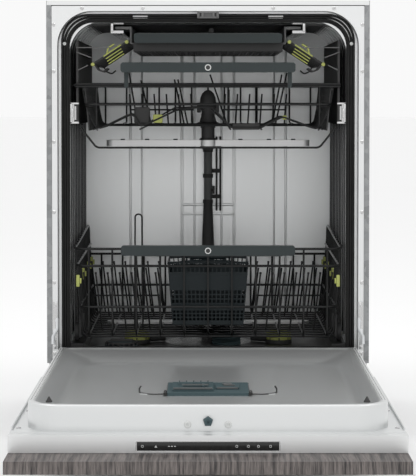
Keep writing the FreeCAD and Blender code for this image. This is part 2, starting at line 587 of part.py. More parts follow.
def salt_container():
    """The salt tank under the floor, with its filling neck."""
    tank = box((SALT_X - 62, SALT_X + 46), (SALT_Y - 48, SALT_Y + 74), (BASE_TOP + 8, TUB_FLOOR - 14))
    hollow = box((SALT_X - 59, SALT_X + 43), (SALT_Y - 45, SALT_Y + 71), (BASE_TOP + 11, TUB_FLOOR - 17))
    neck = rod(SALT_R - 4.5, (SALT_X, SALT_Y, TUB_FLOOR - 18), (SALT_X, SALT_Y, TUB_FLOOR + 6))
    bore = rod(SALT_R - 8, (SALT_X, SALT_Y, TUB_FLOOR - 19), (SALT_X, SALT_Y, TUB_FLOOR + 7))
    return cut(fuse([tank, neck]), [hollow, bore])


def salt_cap():
    """The screw cap on the salt neck, with a grip rib."""
    top = TUB_FLOOR + 9
    cap = rod(SALT_R, (SALT_X, SALT_Y, TUB_FLOOR + 0.5), (SALT_X, SALT_Y, top))
    bore = rod(SALT_R - 4.2, (SALT_X, SALT_Y, TUB_FLOOR), (SALT_X, SALT_Y, TUB_FLOOR + 6.3))
    rib = box((SALT_X - 26, SALT_X + 26), (SALT_Y - 4, SALT_Y + 4), (top - 1, top + 6))
    return cut(fuse([cap, rib]), [bore])


def feed_pipe():
    """The pipe up the tub's rear wall, with a tapered riser and a nozzle for the upper rack."""
    y = TUB_BACK - 14
    top = TUB_FLOOR + RISER_TOP
    riser = rod(12, (0, y, TUB_FLOOR), (0, y, top))
    taper = Part.makeCone(13, 9, RISER_TAPER, V(0, y, top))
    pipe = rod(PIPE_R, (0, y, top + RISER_TAPER - 1), (0, y, FEED_Z + 8))
    nozzle = rod(11, (0, y, FEED_Z), (0, y - 10, FEED_Z))
    clip = box((9, 14), (y - 5, TUB_BACK), (440, 456))
    arm = box((0, 14), (y - 3, y + 3), (445, 451))
    return fuse([riser, taper, pipe, nozzle, clip, arm])


def zone_jets():
    """Two jet heads on the tub floor, fed by branch pipes from the sump."""
    heads = []
    for s in (-1, 1):
        body = rod(JET_R, (s * JET_X, JET_Y, TUB_FLOOR), (s * JET_X, JET_Y, JET_TOP - 4))
        ring = Part.makeCone(JET_R, JET_R - 3, 4, V(s * JET_X, JET_Y, JET_TOP - 4))
        pipe = rod(5, (s * (SUMP_R + 2), SUMP_Y, TUB_FLOOR + 6), (s * (JET_X - 10), JET_Y, TUB_FLOOR + 6))
        heads.append(fuse([body, ring, pipe]))
    return group(heads)


def inlet_valve():
    """The water inlet valve with its threaded stub, and the drain spigot beside it."""
    back = DEPTH - 12
    side = -HALF + VALVE_INSET
    inlet_x, drain_x = side + 24, side + 72
    tip = back + 8
    body = box((side, side + 48), (back - 50, back - 8), (66, 104))
    stub = rod(13.2, (inlet_x, back - 9, 85), (inlet_x, tip, 85))
    bore = rod(8, (inlet_x, back - 20, 85), (inlet_x, tip + 1, 85))
    spigot = rod(10, (drain_x, tip - SPIGOT_LENGTH, 85), (drain_x, tip, 85))
    elbow = box((side + 46, drain_x + 12), (tip - SPIGOT_LENGTH - 10, tip - SPIGOT_LENGTH), (73, 97))
    passage = rod(7.5, (drain_x, tip - SPIGOT_LENGTH - 5, 85), (drain_x, tip + 1, 85))
    return cut(fuse([body, stub, elbow, spigot]), [bore, passage])


# ---------------------------------------------------------------- rack rails
def fixed_rails():
    """The rails on the tub: one each side for the upper rack, two under the ceiling for the tray."""
    side = box((RAIL_IN, TUB_HALF), (TUB_FRONT + 4, TUB_BACK - 20), RAIL_Z)
    low = TUB_TOP - TRAY_RAIL_HEIGHT
    channel = box(TRAY_RAIL_X, (TRAY_FRONT - 4, TUB_BACK - 20), (low, TUB_TOP))
    slot = box((TRAY_RAIL_X[0] - 1, TRAY_RAIL_X[1] - 4), (TRAY_FRONT - 5, TUB_BACK - 19), (low + 5, TUB_TOP - 4))
    ceiling = cut(channel, [slot])
    return group([side, mirror_x(side), ceiling, mirror_x(ceiling)])


def telescopic_slides():
    """The middle members of the upper rack's rails."""
    return pair(box(SLIDE, (TUB_FRONT + 6, TUB_BACK - 24), SLIDE_Z))


# ---------------------------------------------------------------- door
def pocket(extra):
    """The pan's hollow; extra makes it larger all round, for the sheet's underside."""
    half = PAN_HALF - PAN_RIM + extra
    far = PAN_FAR + PAN_RIM - 5 - extra
    near = PAN_NEAR - LINER_SHEET * 2 + extra
    top = RIM_Z + 2
    floor = PAN_Z - extra
    outline = [(-half, far - 3, top), (-half, far, floor), (-half, near - PAN_NEAR_SLOPE - 20, floor),
               (-half, near, RIM_Z), (-half, near, top)]
    return polygon_prism(outline, (2 * half, 0, 0))


def door_liner():
    """The pressed steel pan and its flange, with the dispenser's hole."""
    underside = FLANGE_Z - LINER_SHEET
    shell = pan_block(0, (underside, RIM_Z)).cut(pocket(0))
    hollow = pan_block(LINER_SHEET, (underside - 1, RIM_Z - LINER_SHEET)).cut(pocket(LINER_SHEET))
    flange = across(HALF, (FASCIA_BACK, DOOR_START), (underside, FLANGE_Z))
    flange = flange.cut(pan_block(LINER_SHEET, (underside - 1, FLANGE_Z + 1)))
    hole = across(DISPENSER[0] / 2, (DISPENSER_Y - DISPENSER[1] / 2, DISPENSER_Y + DISPENSER[1] / 2),
                  (PAN_Z - 3, PAN_Z + 3))
    return cut(fuse([shell.cut(hollow), flange]), [hole])


def door_outer_panel():
    """The outer sheet of the door, folded up at its sides and lower end."""
    top = FLANGE_Z - LINER_SHEET
    outer = across(HALF, (FASCIA_BACK, DOOR_START), (SKIN_Z, top))
    inner = across(HALF - DOOR_SHEET, (FASCIA_BACK - 1, DOOR_START - DOOR_SHEET), (SKIN_Z + DOOR_SHEET, top + 1))
    slot = box((HALF - 12, HALF - 7), (DOOR_START - 2, DOOR_START + 1), (SKIN_Z + DOOR_SHEET, top + 1))
    return cut(outer, [inner, slot, mirror_x(slot)])


def control_fascia():
    """The control strip on the door's upper edge, with a shallow seat for its window."""
    outer = across(HALF, (FASCIA_FRONT, FASCIA_BACK), (SKIN_Z + 0.5, FLANGE_Z))
    inner = across(HALF - FASCIA_WALL, (FASCIA_FRONT + FASCIA_WALL, FASCIA_BACK + 1),
                   (SKIN_Z + 0.5 + FASCIA_WALL, FLANGE_Z - FASCIA_WALL))
    seat = across(GLASS[0] / 2, (FASCIA_FRONT - 1, FASCIA_FRONT + GLASS[2]), glass_z(0))
    return cut(outer, [inner, seat])


def glass_z(gap):
    """The window's lower and upper edge, drawn in by a gap."""
    top = FLANGE_Z - GLASS_DROP
    return (top - GLASS[1] + gap, top - gap)


def control_glass():
    """The dark window over the keys and the display."""
    return across(GLASS[0] / 2 - 0.1, (FASCIA_FRONT, FASCIA_FRONT + GLASS[2]), glass_z(0.1))


def control_board():
    """The circuit board behind the window, with its row of touch keys."""
    y = FASCIA_FRONT + FASCIA_WALL
    board = across(GLASS[0] / 2 + 12, (y, y + 1.6), (SKIN_Z + 4, FLANGE_Z - 4))
    chips = [box((x, x + 14), (y + 1.6, y + 4.6), (SKIN_Z + 9, SKIN_Z + 18)) for x in range(-90, 91, 36)]
    return fuse([board] + chips)


def furniture_panel():
    """The wooden front that is screwed to the door."""
    return across(HALF, (FOOTPRINT_FRONT, PIVOT_Y + PANEL_NEAR), (SKIN_Z - PANEL_THICK, SKIN_Z))


def hinge_arm():
    """The right-hand arm inside the door, bored for the hinge pin."""
    x0 = HALF - 11
    strip = box((x0, x0 + 3), (PIVOT_Y - 180, PIVOT_Y), (PIVOT_Z - 8, PIVOT_Z + 7))
    eye = rod(9, (x0, PIVOT_Y, PIVOT_Z), (x0 + 3, PIVOT_Y, PIVOT_Z))
    foot_ = box((x0, HALF - DOOR_SHEET), (PIVOT_Y - 170, PIVOT_Y - 60), (SKIN_Z + DOOR_SHEET, PIVOT_Z - 7))
    hole = rod(PIN_R + PIN_FIT, (x0 - 1, PIVOT_Y, PIVOT_Z), (x0 + 4, PIVOT_Y, PIVOT_Z))
    return cut(fuse([strip, eye, foot_]), [hole])


def latch_hook():
    """The hook on the pan's far wall, which enters the catch when the door shuts."""
    width, reach, height = LATCH
    z0 = PIVOT_Z + LATCH_LIFT
    outline = [(0, PAN_FAR, z0), (0, PAN_FAR, z0 + height), (0, PAN_FAR - reach * 0.6, z0 + height),
               (0, PAN_FAR - reach, z0 + height * 0.6), (0, PAN_FAR - reach, z0 + height * 0.3)]
    return polygon_prism([(-width / 2, y, z) for _, y, z in outline], (width, 0, 0))


def liner_screws():
    """The round heads of the screws in the pan's far wall."""
    heads = []
    for x in (-30.5, 30.5):
        heads.append(rod(5.5, (x, PAN_FAR, PIVOT_Z + 21), (x, PAN_FAR - 1.6, PIVOT_Z + 21)))
    return group(heads)


def dispenser_body():
    """The detergent and rinse-aid box set into the pan's floor."""
    half, y0, y1 = DISPENSER[0] / 2, DISPENSER_Y - DISPENSER[1] / 2, DISPENSER_Y + DISPENSER[1] / 2
    body = across(half, (y0, y1), (PAN_Z - DISPENSER_DEPTH, PAN_Z + DISPENSER_LIP))
    lip = across(half + 3, (y0 - 3, y1 + 3), (PAN_Z, PAN_Z + DISPENSER_LIP))
    cup = box((-CUP[0], 0), (DISPENSER_Y - CUP[1] / 2, DISPENSER_Y + CUP[1] / 2),
              (PAN_Z + DISPENSER_LIP - CUP[2], PAN_Z + DISPENSER_LIP + 1))
    tank = box((16, 46), (DISPENSER_Y - 20, DISPENSER_Y + 20), (PAN_Z - 20, PAN_Z + DISPENSER_LIP + 1))
    return cut(fuse([body, lip]), [cup, tank])


def detergent_lid():
    """The sliding lid over the detergent cup, with a finger rib."""
    z0 = PAN_Z + DISPENSER_LIP
    plate = box((-CUP[0] - 3, 9), (DISPENSER_Y - CUP[1] / 2 - 4, DISPENSER_Y + CUP[1] / 2 + 4), (z0, z0 + LID_THICK))
    rib = box((-10, -6), (DISPENSER_Y - 22, DISPENSER_Y + 22), (z0 + LID_THICK, z0 + LID_THICK + 3))
    return fuse([plate, rib])


def rinse_aid_lid():
    """The flap over the rinse-aid filler, hinged at its outer edge."""
    z0 = PAN_Z + DISPENSER_LIP
    plate = box((13, 49), (DISPENSER_Y - 24, DISPENSER_Y + 24), (z0, z0 + LID_THICK))
    barrel = rod(1.6, (50, DISPENSER_Y - 22, z0 + 2), (50, DISPENSER_Y + 22, z0 + 2))
    return fuse([plate, barrel])


# ---------------------------------------------------------------- lower rack
def rack_walls(half, base, front_top, side_top, pitch):
    """The four upright wire walls of a rack, each a flat grid."""
    inner = half - WIRE
    front = grid((0, RACK_FRONT + WIRE, 0), (1, 0, 0), (0, 0, 1), (-half, half), (base, front_top), pitch)
    back = grid((0, RACK_BACK, 0), (1, 0, 0), (0, 0, 1), (-half, half), (base, side_top), pitch)
    side = grid((inner, 0, 0), (0, 1, 0), (0, 0, 1), (RACK_FRONT + WIRE, RACK_BACK - WIRE),
                (base, side_top), pitch)
    return [front, back, side, mirror_x(side)]


def rack_base(half, z, pitch):
    """The rack's floor, a flat grid inside its walls."""
    inner = half - WIRE
    return grid((0, 0, z), (1, 0, 0), (0, 1, 0), (-inner, inner), (RACK_FRONT + WIRE, RACK_BACK - WIRE), pitch)


def lower_rack_frame():
    """The lower rack: floor, walls, fixed tine rows and the wheels' axle plates."""
    solids = rack_walls(RACK_HALF, LOWER_BASE, LOWER_FRONT_TOP, LOWER_SIDE_TOP, (42.0, 38.0))
    solids.append(rack_base(RACK_HALF, LOWER_BASE, (36.0, 48.0)))
    for y in TINE_FIXED_Y:
        row = comb(y, TINE_SPAN, LOWER_BASE + WIRE, TINE_HEIGHT, TINE_PITCH)
        solids += [row, mirror_x(row)]
    axle_z = LEDGE_TOP + WHEEL_GAP + WHEEL_R
    for y in WHEEL_Y:
        plate = box((RACK_HALF, RACK_HALF + 4), (y - 9, y + 9), (axle_z - 8, LOWER_BASE + 22))
        axle = rod(3, (RACK_HALF + 3, y, axle_z), (RACK_HALF + 4 + WHEEL_WIDTH + 1.5, y, axle_z))
        bracket = fuse([plate, axle])
        solids += [bracket, mirror_x(bracket)]
    return group(solids)


def rack_handle(z, wall_top):
    """A bar handle that stands in front of the rack's front wall on two posts."""
    bar = across(HANDLE_HALF, (HANDLE_FRONT, HANDLE_FRONT + HANDLE_DEPTH), (z, z + HANDLE_HEIGHT))
    bar = bar.makeFillet(5, [e for e in bar.Edges if e.BoundBox.YLength > HANDLE_DEPTH - 1])
    low = min(z + 4, wall_top - 8)
    post = box((HANDLE_HALF - 14, HANDLE_HALF - 6), (HANDLE_FRONT + HANDLE_DEPTH - 2, RACK_FRONT),
               (low, z + HANDLE_HEIGHT - 4))
    return fuse([bar, post, mirror_x(post)])


def wheel_pair(y):
    """The left and right wheel on one axle line."""
    z = LEDGE_TOP + WHEEL_GAP + WHEEL_R
    x0 = RACK_HALF + 4.6
    wheel = rod(WHEEL_R, (x0, y, z), (x0 + WHEEL_WIDTH, y, z))
    groove = rod(WHEEL_R - 5, (x0 + WHEEL_WIDTH - 2, y, z), (x0 + WHEEL_WIDTH + 1, y, z))
    hub = rod(6, (x0, y, z), (x0 + WHEEL_WIDTH, y, z))
    bore = rod(3 + PIN_FIT, (x0 - 1, y, z), (x0 + WHEEL_WIDTH + 1, y, z))
    return pair(cut(fuse([cut(wheel, [groove]), hub]), [bore]))


def folding_tines(side):
    """A folding row of tines on its own pivot wire."""
    row = pivoted_comb(TINE_FOLD_Y, TINE_SPAN, LOWER_BASE + WIRE + 1, TINE_HEIGHT, TINE_PITCH)
    return row if side > 0 else mirror_x(row)


def cutlery_basket():
    """The lift-out cutlery basket, open at the top, with a bail across its middle."""
    width, depth, height = BASKET
    z0 = LOWER_BASE + WIRE + 0.2
    y0, y1 = BASKET_Y, BASKET_Y + depth
    outer = across(width / 2, (y0, y1), (z0, z0 + height))
    inner = across(width / 2 - BASKET_WALL, (y0 + BASKET_WALL, y1 - BASKET_WALL), (z0 + BASKET_WALL, z0 + height + 1))
    divider = across(width / 2 - 1, ((y0 + y1) / 2 - 1.5, (y0 + y1) / 2 + 1.5), (z0 + 1, z0 + height + 14))
    slot = across(45, (y0, y1), (z0 + height - 6, z0 + height + 5))
    return fuse([cut(outer, [inner]), cut(divider, [slot])])


# ---------------------------------------------------------------- upper rack
def upper_rack_frame():
    """The upper rack: floor, walls, and the guard wire below its front."""
    solids = rack_walls(UPPER_HALF, UPPER_BASE, UPPER_TOP, UPPER_TOP, (46.0, 40.0))
    tower_hole = rod(16, (0, UPPER_HUB_Y, UPPER_BASE - 1), (0, UPPER_HUB_Y, UPPER_BASE + WIRE + 1))
    solids.append(cut(rack_base(UPPER_HALF, UPPER_BASE, (40.0, 54.0)), [tower_hole]))
    y, low = RACK_FRONT + WIRE / 2, UPPER_BASE - GUARD_DROP
    solids.append(rod(WIRE / 2, (-GUARD_HALF, y, low), (GUARD_HALF, y, low)))
    for s in (-1, 1):
        corner = (s * GUARD_HALF, y, low)
        solids.append(rod(WIRE / 2, corner, (s * (UPPER_HALF - 2), y, UPPER_BASE + 2)))
        solids.append(rod(WIRE / 2, (s * GUARD_HALF, y, low + 8), (s * GUARD_HALF, y, low - 13)))
    return group(solids)


def upper_feed():
    """The hub tower and water pipe under the upper rack, up to the docking ring at its back."""
    tower = Part.makeCone(15, 9, 44, V(0, UPPER_HUB_Y, UPPER_BASE - 1))
    neck = rod(13, (0, UPPER_HUB_Y, UPPER_ARM_Z + UPPER_ARM[1] + 4), (0, UPPER_HUB_Y, UPPER_BASE))
    pipe = rod(9, (0, UPPER_HUB_Y, FEED_Z), (0, TUB_BACK - 28, FEED_Z))
    ring = rod(12, (0, TUB_BACK - 36, FEED_Z), (0, TUB_BACK - 26, FEED_Z))
    pin = rod(6, (0, UPPER_HUB_Y, UPPER_ARM_Z - 5), (0, UPPER_HUB_Y, UPPER_BASE))
    return fuse([tower, neck, pipe, ring, pin])


def upper_spray_arm():
    """The steel arm that turns under the upper rack."""
    arm = spray_arm(UPPER_ARM_HALF, UPPER_ARM, UPPER_ARM_Z, UPPER_HUB_Y)
    return cut(arm, [rod(6.3, (0, UPPER_HUB_Y, UPPER_ARM_Z - 9), (0, UPPER_HUB_Y, UPPER_ARM_Z + 20))])


def lower_spray_arm():
    """The arm that turns on the sump's spigot."""
    arm = spray_arm(LOWER_ARM_HALF, LOWER_ARM, LOWER_ARM_Z, HUB_Y, rise=4.0)
    return cut(arm, [rod(7.3, (0, HUB_Y, LOWER_ARM_Z - 9), (0, HUB_Y, LOWER_ARM_Z + 8.5))])


def side_brackets():
    """The black side plates that carry the upper rack on its slides."""
    plate = box(CARRIAGE, (RACK_FRONT + 6, RACK_BACK - 6), CARRIAGE_Z)
    return pair(plate)


def cup_shelf(side):
    """A tilted shelf of ribs above the upper rack's side, on its own hinge wire."""
    x, z = SHELF_HINGE
    rail = grid((0, 0, 0), (1, 0, 0), (0, 1, 0), (-SHELF_SPAN, 0), (RACK_FRONT + 22, RACK_BACK - 30), (30.0, 36.0))
    rail.rotate(V(0, 0, 0), V(0, 1, 0), SHELF_TILT)
    rail.translate(V(x, 0, z))
    pin = rod(WIRE / 2, (x, RACK_FRONT + 18, z), (x, RACK_BACK - 26, z))
    shelf = fuse([rail, pin])
    return shelf if side > 0 else mirror_x(shelf)


def upper_tines():
    """The folding row of prongs across the upper rack."""
    inner, outer = UPPER_TINE
    base = UPPER_BASE + WIRE + 1
    right = pivoted_comb(UPPER_TINE_Y, (inner, outer), base, 62.0, 24.0)
    wire = box((-inner - 1, inner + 1), (UPPER_TINE_Y, UPPER_TINE_Y + WIRE), (base, base + WIRE))
    return fuse([right, mirror_x(right), wire])


# ---------------------------------------------------------------- tray
def tray_frame():
    """The flat top tray: a slotted floor, low walls and runners in the ceiling rails."""
    low, high = TRAY_Z
    back = RACK_BACK - 4
    floor = grid((0, 0, low), (1, 0, 0), (0, 1, 0), (-TRAY_HALF, TRAY_HALF), (TRAY_FRONT, back), (20.0, 30.0), 3.0)
    front = across(TRAY_HALF, (TRAY_FRONT, TRAY_FRONT + 2.5), (low + 3, high))
    rear = across(TRAY_HALF, (back - 2.5, back), (low + 3, high))
    wall = box((TRAY_HALF - 2.5, TRAY_HALF), (TRAY_FRONT + 2.5, back - 2.5), (low + 3, high))
    run = (TRAY_FRONT + 2.5, back - 2.5)
    wing = box((TRAY_HALF, TRAY_HALF + TRAY_WEB), run, (high - 3, high))
    web = box((TRAY_HALF + TRAY_WEB - 3, TRAY_HALF + TRAY_WEB), run, (high, TUB_TOP - 8))
    tongue = box((TRAY_HALF + TRAY_WEB, TRAY_RAIL_X[1] - 8), run,
                 (TUB_TOP - TRAY_RAIL_HEIGHT + 7, TUB_TOP - 8))
    right = [wall, wing, web, tongue]
    return group([floor, front, rear] + right + [mirror_x(part) for part in right])


def tray_handle():
    """The bar handle in front of the tray."""
    inset, depth, height = TRAY_BAR
    half = TRAY_HALF - inset
    low = TRAY_Z[1] - 1.5
    bar = across(half, (TRAY_FRONT - 4 - depth, TRAY_FRONT - 4), (low, low + height))
    bar = bar.makeFillet(4, [e for e in bar.Edges if e.BoundBox.YLength > depth - 1])
    post = box((half - 30, half - 12), (TRAY_FRONT - 6, TRAY_FRONT + 2), (TRAY_Z[1], low + 8))
    return fuse([bar, post, mirror_x(post)])


# ---------------------------------------------------------------- all pieces
def pieces():
    """Every node's name and shape."""
    side = side_panel()
    return {
        "side_panel_right": side,
        "side_panel_left": mirror_x(side),
        "back_panel": back_panel(),
        "top_panel": top_panel(),
        "top_rail": top_rail(),
        "front_frame": front_frame(),
        "door_seals": door_seals(),
        "tub_wrapper": tub_wrapper(),
        "tub_back": tub_back(),
        "tub_floor": tub_floor(),
        "base_pan": base_pan(),
        "ballast": ballast(),
        "hinge_brackets": pair(hinge_bracket()),
        "door_springs": pair(door_spring()),
        "latch_receiver": latch_receiver(),
        "sump": sump(),
        "filter_plate": filter_plate(),
        "circulation_pump": circulation_pump(),
        "drain_pump": drain_pump(),
        "salt_container": salt_container(),
        "feed_pipe": feed_pipe(),
        "zone_jets": zone_jets(),
        "inlet_valve": inlet_valve(),
        "fixed_rails": fixed_rails(),
        "front_foot_left": foot(-FRONT_FOOT[0], FRONT_FOOT[1]),
        "front_foot_right": foot(FRONT_FOOT[0], FRONT_FOOT[1]),
        "rear_foot": foot(0, REAR_FOOT_Y),
        "filter_cup": filter_cup(),
        "salt_cap": salt_cap(),
        "lower_spray_arm": lower_spray_arm(),
        "door_liner": door_liner(),
        "door_outer_panel": door_outer_panel(),
        "control_fascia": control_fascia(),
        "control_glass": control_glass(),
        "control_board": control_board(),
        "furniture_panel": furniture_panel(),
        "hinge_arms": pair(hinge_arm()),
        "latch_hook": latch_hook(),
        "liner_screws": liner_screws(),
        "dispenser_body": dispenser_body(),
        "detergent_lid": detergent_lid(),
        "rinse_aid_lid": rinse_aid_lid(),
        "lower_rack_frame": lower_rack_frame(),
        "lower_rack_handle": rack_handle(LOWER_HANDLE_Z, LOWER_FRONT_TOP),
        "front_wheels": wheel_pair(WHEEL_Y[0]),
        "rear_wheels": wheel_pair(WHEEL_Y[1]),
        "plate_tines_left": folding_tines(-1),
        "plate_tines_right": folding_tines(1),
        "cutlery_basket": cutlery_basket(),
        "telescopic_slides": telescopic_slides(),
        "side_brackets": side_brackets(),
        "upper_rack_frame": upper_rack_frame(),
        "upper_rack_handle": rack_handle(UPPER_HANDLE_Z, UPPER_TOP),
        "upper_tines": upper_tines(),
        "cup_shelf_left": cup_shelf(-1),
        "cup_shelf_right": cup_shelf(1),
        "upper_feed": upper_feed(),
        "upper_spray_arm": upper_spray_arm(),
        "tray_frame": tray_frame(),
        "tray_handle": tray_handle(),
    }


def main():
    os.makedirs("parts", exist_ok=True)
    for name, shape in pieces().items():
        shape.translate(V(0, Y_SHIFT, 0))
        shape.exportStep("parts/" + name + ".step")


main()
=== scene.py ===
import math

import bmesh
import bpy
from mathutils import Matrix, Vector


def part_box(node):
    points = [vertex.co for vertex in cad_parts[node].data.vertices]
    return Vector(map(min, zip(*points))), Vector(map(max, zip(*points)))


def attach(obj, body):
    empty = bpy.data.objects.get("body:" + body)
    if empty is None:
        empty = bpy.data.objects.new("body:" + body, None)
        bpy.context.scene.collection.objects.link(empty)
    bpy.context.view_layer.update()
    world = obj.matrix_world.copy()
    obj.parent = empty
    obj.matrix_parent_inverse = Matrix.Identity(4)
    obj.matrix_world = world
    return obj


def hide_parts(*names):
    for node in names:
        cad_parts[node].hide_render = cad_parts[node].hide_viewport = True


bl_info = {
    "name": "Built-in dishwasher",
    "version": (1, 0, 0),
    "blender": (4, 5, 0),
    "location": "View3D > Sidebar > Dishwasher",
    "description": "Wire racks, tub, door and finishes of a built-in dishwasher, round its engineering frame",
    "category": "Object",
}

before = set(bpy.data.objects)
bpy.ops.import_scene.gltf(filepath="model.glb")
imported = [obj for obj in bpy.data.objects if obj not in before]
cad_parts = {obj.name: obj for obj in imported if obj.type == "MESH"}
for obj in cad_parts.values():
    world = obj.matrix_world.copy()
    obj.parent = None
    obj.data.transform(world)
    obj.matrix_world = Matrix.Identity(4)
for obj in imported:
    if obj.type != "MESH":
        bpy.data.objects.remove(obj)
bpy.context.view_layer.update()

MM = 0.001
SMOOTH_ANGLE = math.radians(38)


class Place:
    """Where a CAD node is: its box and the box's middle, in millimetres."""

    def __init__(self, node):
        low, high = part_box(node)
        self.x0, self.y0, self.z0 = (value / MM for value in low)
        self.x1, self.y1, self.z1 = (value / MM for value in high)
        self.x, self.y, self.z = (self.x0 + self.x1) / 2, (self.y0 + self.y1) / 2, (self.z0 + self.z1) / 2


# ---------------------------------------------------------------- modelling by hand
def choose(*objects):
    """Leaves edit mode and selects only these objects."""
    if bpy.context.object and bpy.context.object.mode != "OBJECT":
        bpy.ops.object.mode_set(mode="OBJECT")
    bpy.ops.object.select_all(action="DESELECT")
    for obj in objects:
        obj.select_set(True)
    bpy.context.view_layer.objects.active = objects[0] if objects else None


def settle(obj):
    """Puts an object's place into its mesh."""
    choose(obj)
    bpy.ops.object.transform_apply(location=True, rotation=True, scale=True)
    return obj


def edit(obj, test=None, kind="FACE"):
    """Opens a mesh with the faces or edges selected whose middle and direction pass a test."""
    choose(obj)
    bpy.ops.object.mode_set(mode="EDIT")
    bpy.ops.mesh.select_mode(type=kind)
    if test is None:
        bpy.ops.mesh.select_all(action="SELECT")
        return
    pick(obj, test, kind)


def pick(obj, test, kind="FACE"):
    """Selects, in an open mesh, the faces or edges whose middle and direction pass a test."""
    bpy.ops.mesh.select_all(action="DESELECT")
    mesh = bmesh.from_edit_mesh(obj.data)
    for face in mesh.faces if kind == "FACE" else ():
        face.select_set(test(face.calc_center_median() / MM, face.normal))
    for edge in mesh.edges if kind == "EDGE" else ():
        a, b = (vert.co / MM for vert in edge.verts)
        edge.select_set(test((a + b) / 2, (b - a).normalized()))
    mesh.select_flush_mode()
    bmesh.update_edit_mesh(obj.data)


def soften(obj, offset, segments=2, test=None):
    """Rounds a mesh's edges, or those that pass a test."""
    edit(obj, test, "EDGE")
    bpy.ops.mesh.bevel(offset=offset * MM, segments=segments, affect="EDGES")
    choose(obj)
    return obj


def outward(obj):
    """Turns a closed mesh's faces outwards, with its doubles merged."""
    edit(obj)
    bpy.ops.mesh.remove_doubles(threshold=0.01 * MM)
    bpy.ops.mesh.normals_make_consistent(inside=False)
    choose(obj)
    return obj


def block(low, high, edge=0.0, segments=2):
    """A block between two corners, with its edges rounded."""
    choose()
    low, high = Vector(low) * MM, Vector(high) * MM
    bpy.ops.mesh.primitive_cube_add(size=1.0, location=(low + high) / 2, scale=high - low)
    obj = settle(bpy.context.object)
    return soften(obj, edge, segments) if edge else obj


def rod(start, end, radius, sides=20, edge=0.0, taper=1.0):
    """A round rod between two points, its far end tapered and its rims rounded."""
    choose()
    start, end = Vector(start) * MM, Vector(end) * MM
    run = end - start
    bpy.ops.mesh.primitive_cone_add(
        vertices=sides, radius1=radius * MM, radius2=radius * taper * MM, depth=run.length,
        location=(start + end) / 2, rotation=run.to_track_quat("Z", "Y").to_euler())
    obj = settle(bpy.context.object)
    if edge:
        along = run.normalized()
        soften(obj, edge, 2, lambda middle, way: abs(way.dot(along)) < 0.1)
    return obj


def turned(rings, at, sides=32, axis=(0, 0, 1)):
    """A turned form: a disc drawn out and resized ring by ring, as (height, radius) along an axis."""
    choose()
    height, radius = rings[0]
    bpy.ops.mesh.primitive_circle_add(vertices=sides, radius=radius * MM, fill_type="NGON",
                                      location=(0, 0, height * MM))
    obj = settle(bpy.context.object)
    edit(obj)
    for next_height, next_radius in rings[1:]:
        rise = (next_height - height) * MM
        bpy.ops.mesh.extrude_region_move(TRANSFORM_OT_translate={"value": (0, 0, rise)})
        share = next_radius / radius
        bpy.ops.transform.resize(value=(share, share, 1), center_override=(0, 0, next_height * MM))
        height, radius = next_height, next_radius
    outward(obj)
    obj.matrix_world = (Matrix.Translation(Vector(at) * MM)
                        @ Vector(axis).to_track_quat("Z", "Y").to_matrix().to_4x4())
    return settle(obj)


def bent(route, bend):
    """Bezier knots (place, handle before, handle after) for a route whose corners are bent."""
    points = [Vector(point) * MM for point in route]
    knots = [(points[0], None, None)]
    for before, point, after in zip(points, points[1:], points[2:]):
        into, out = (point - before).normalized(), (after - point).normalized()
        turn = into.angle(out)
        if turn < 0.05:
            knots.append((point, None, None))
            continue
        reach = min(bend * MM * math.tan(turn / 2), 0.48 * min((point - before).length,
                                                               (after - point).length))
        knots.append((point - into * reach, None, point - into * reach * 0.45))
        knots.append((point + out * reach, point + out * reach * 0.45, None))
    knots.append((points[-1], None, None))
    return knots


def wires(routes, radius, bend=8.0, sides=2, steps=4):
    """Round wires along routes of points, each bent at its corners."""
    choose()
    bpy.ops.curve.primitive_bezier_curve_add(location=(0, 0, 0))
    obj = bpy.context.object
    curve = obj.data
    curve.splines.clear()
    curve.bevel_depth, curve.bevel_resolution = radius * MM, sides
    curve.use_fill_caps, curve.resolution_u = True, steps
    for route in routes:
        knots = bent(route, bend)
        spline = curve.splines.new("BEZIER")
        spline.bezier_points.add(len(knots) - 1)
        for point, (place, before, after) in zip(spline.bezier_points, knots):
            point.co = place
            point.handle_left_type = "FREE" if before else "VECTOR"
            point.handle_right_type = "FREE" if after else "VECTOR"
            if before:
                point.handle_left = before
            if after:
                point.handle_right = after
    choose(obj)
    bpy.ops.object.convert(target="MESH")
    return outward(bpy.context.object)


def modify(obj, kind, **settings):
    """Adds one modifier and applies it."""
    choose(obj)
    bpy.ops.object.modifier_add(type=kind)
    modifier = obj.modifiers[-1]
    for setting, value in settings.items():
        setattr(modifier, setting, value)
    bpy.ops.object.modifier_apply(modifier=modifier.name)
    return obj


def join(*objects):
    """One object from several."""
    choose(*objects)
    if len(objects) > 1:
        bpy.ops.object.join()
    return bpy.context.object


def piece(name, body, finish, parts, replaces=()):
    """Names a finished piece, gives it its material and lets it ride on a CAD body."""
    obj = join(*parts) if isinstance(parts, (list, tuple)) else parts
    obj.name = obj.data.name = name
    obj.data.materials.clear()
    obj.data.materials.append(material(finish))
    choose(obj)
    bpy.ops.object.shade_smooth_by_angle(angle=SMOOTH_ANGLE)
    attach(obj, body)
    if replaces:
        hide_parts(*replaces)
    return obj


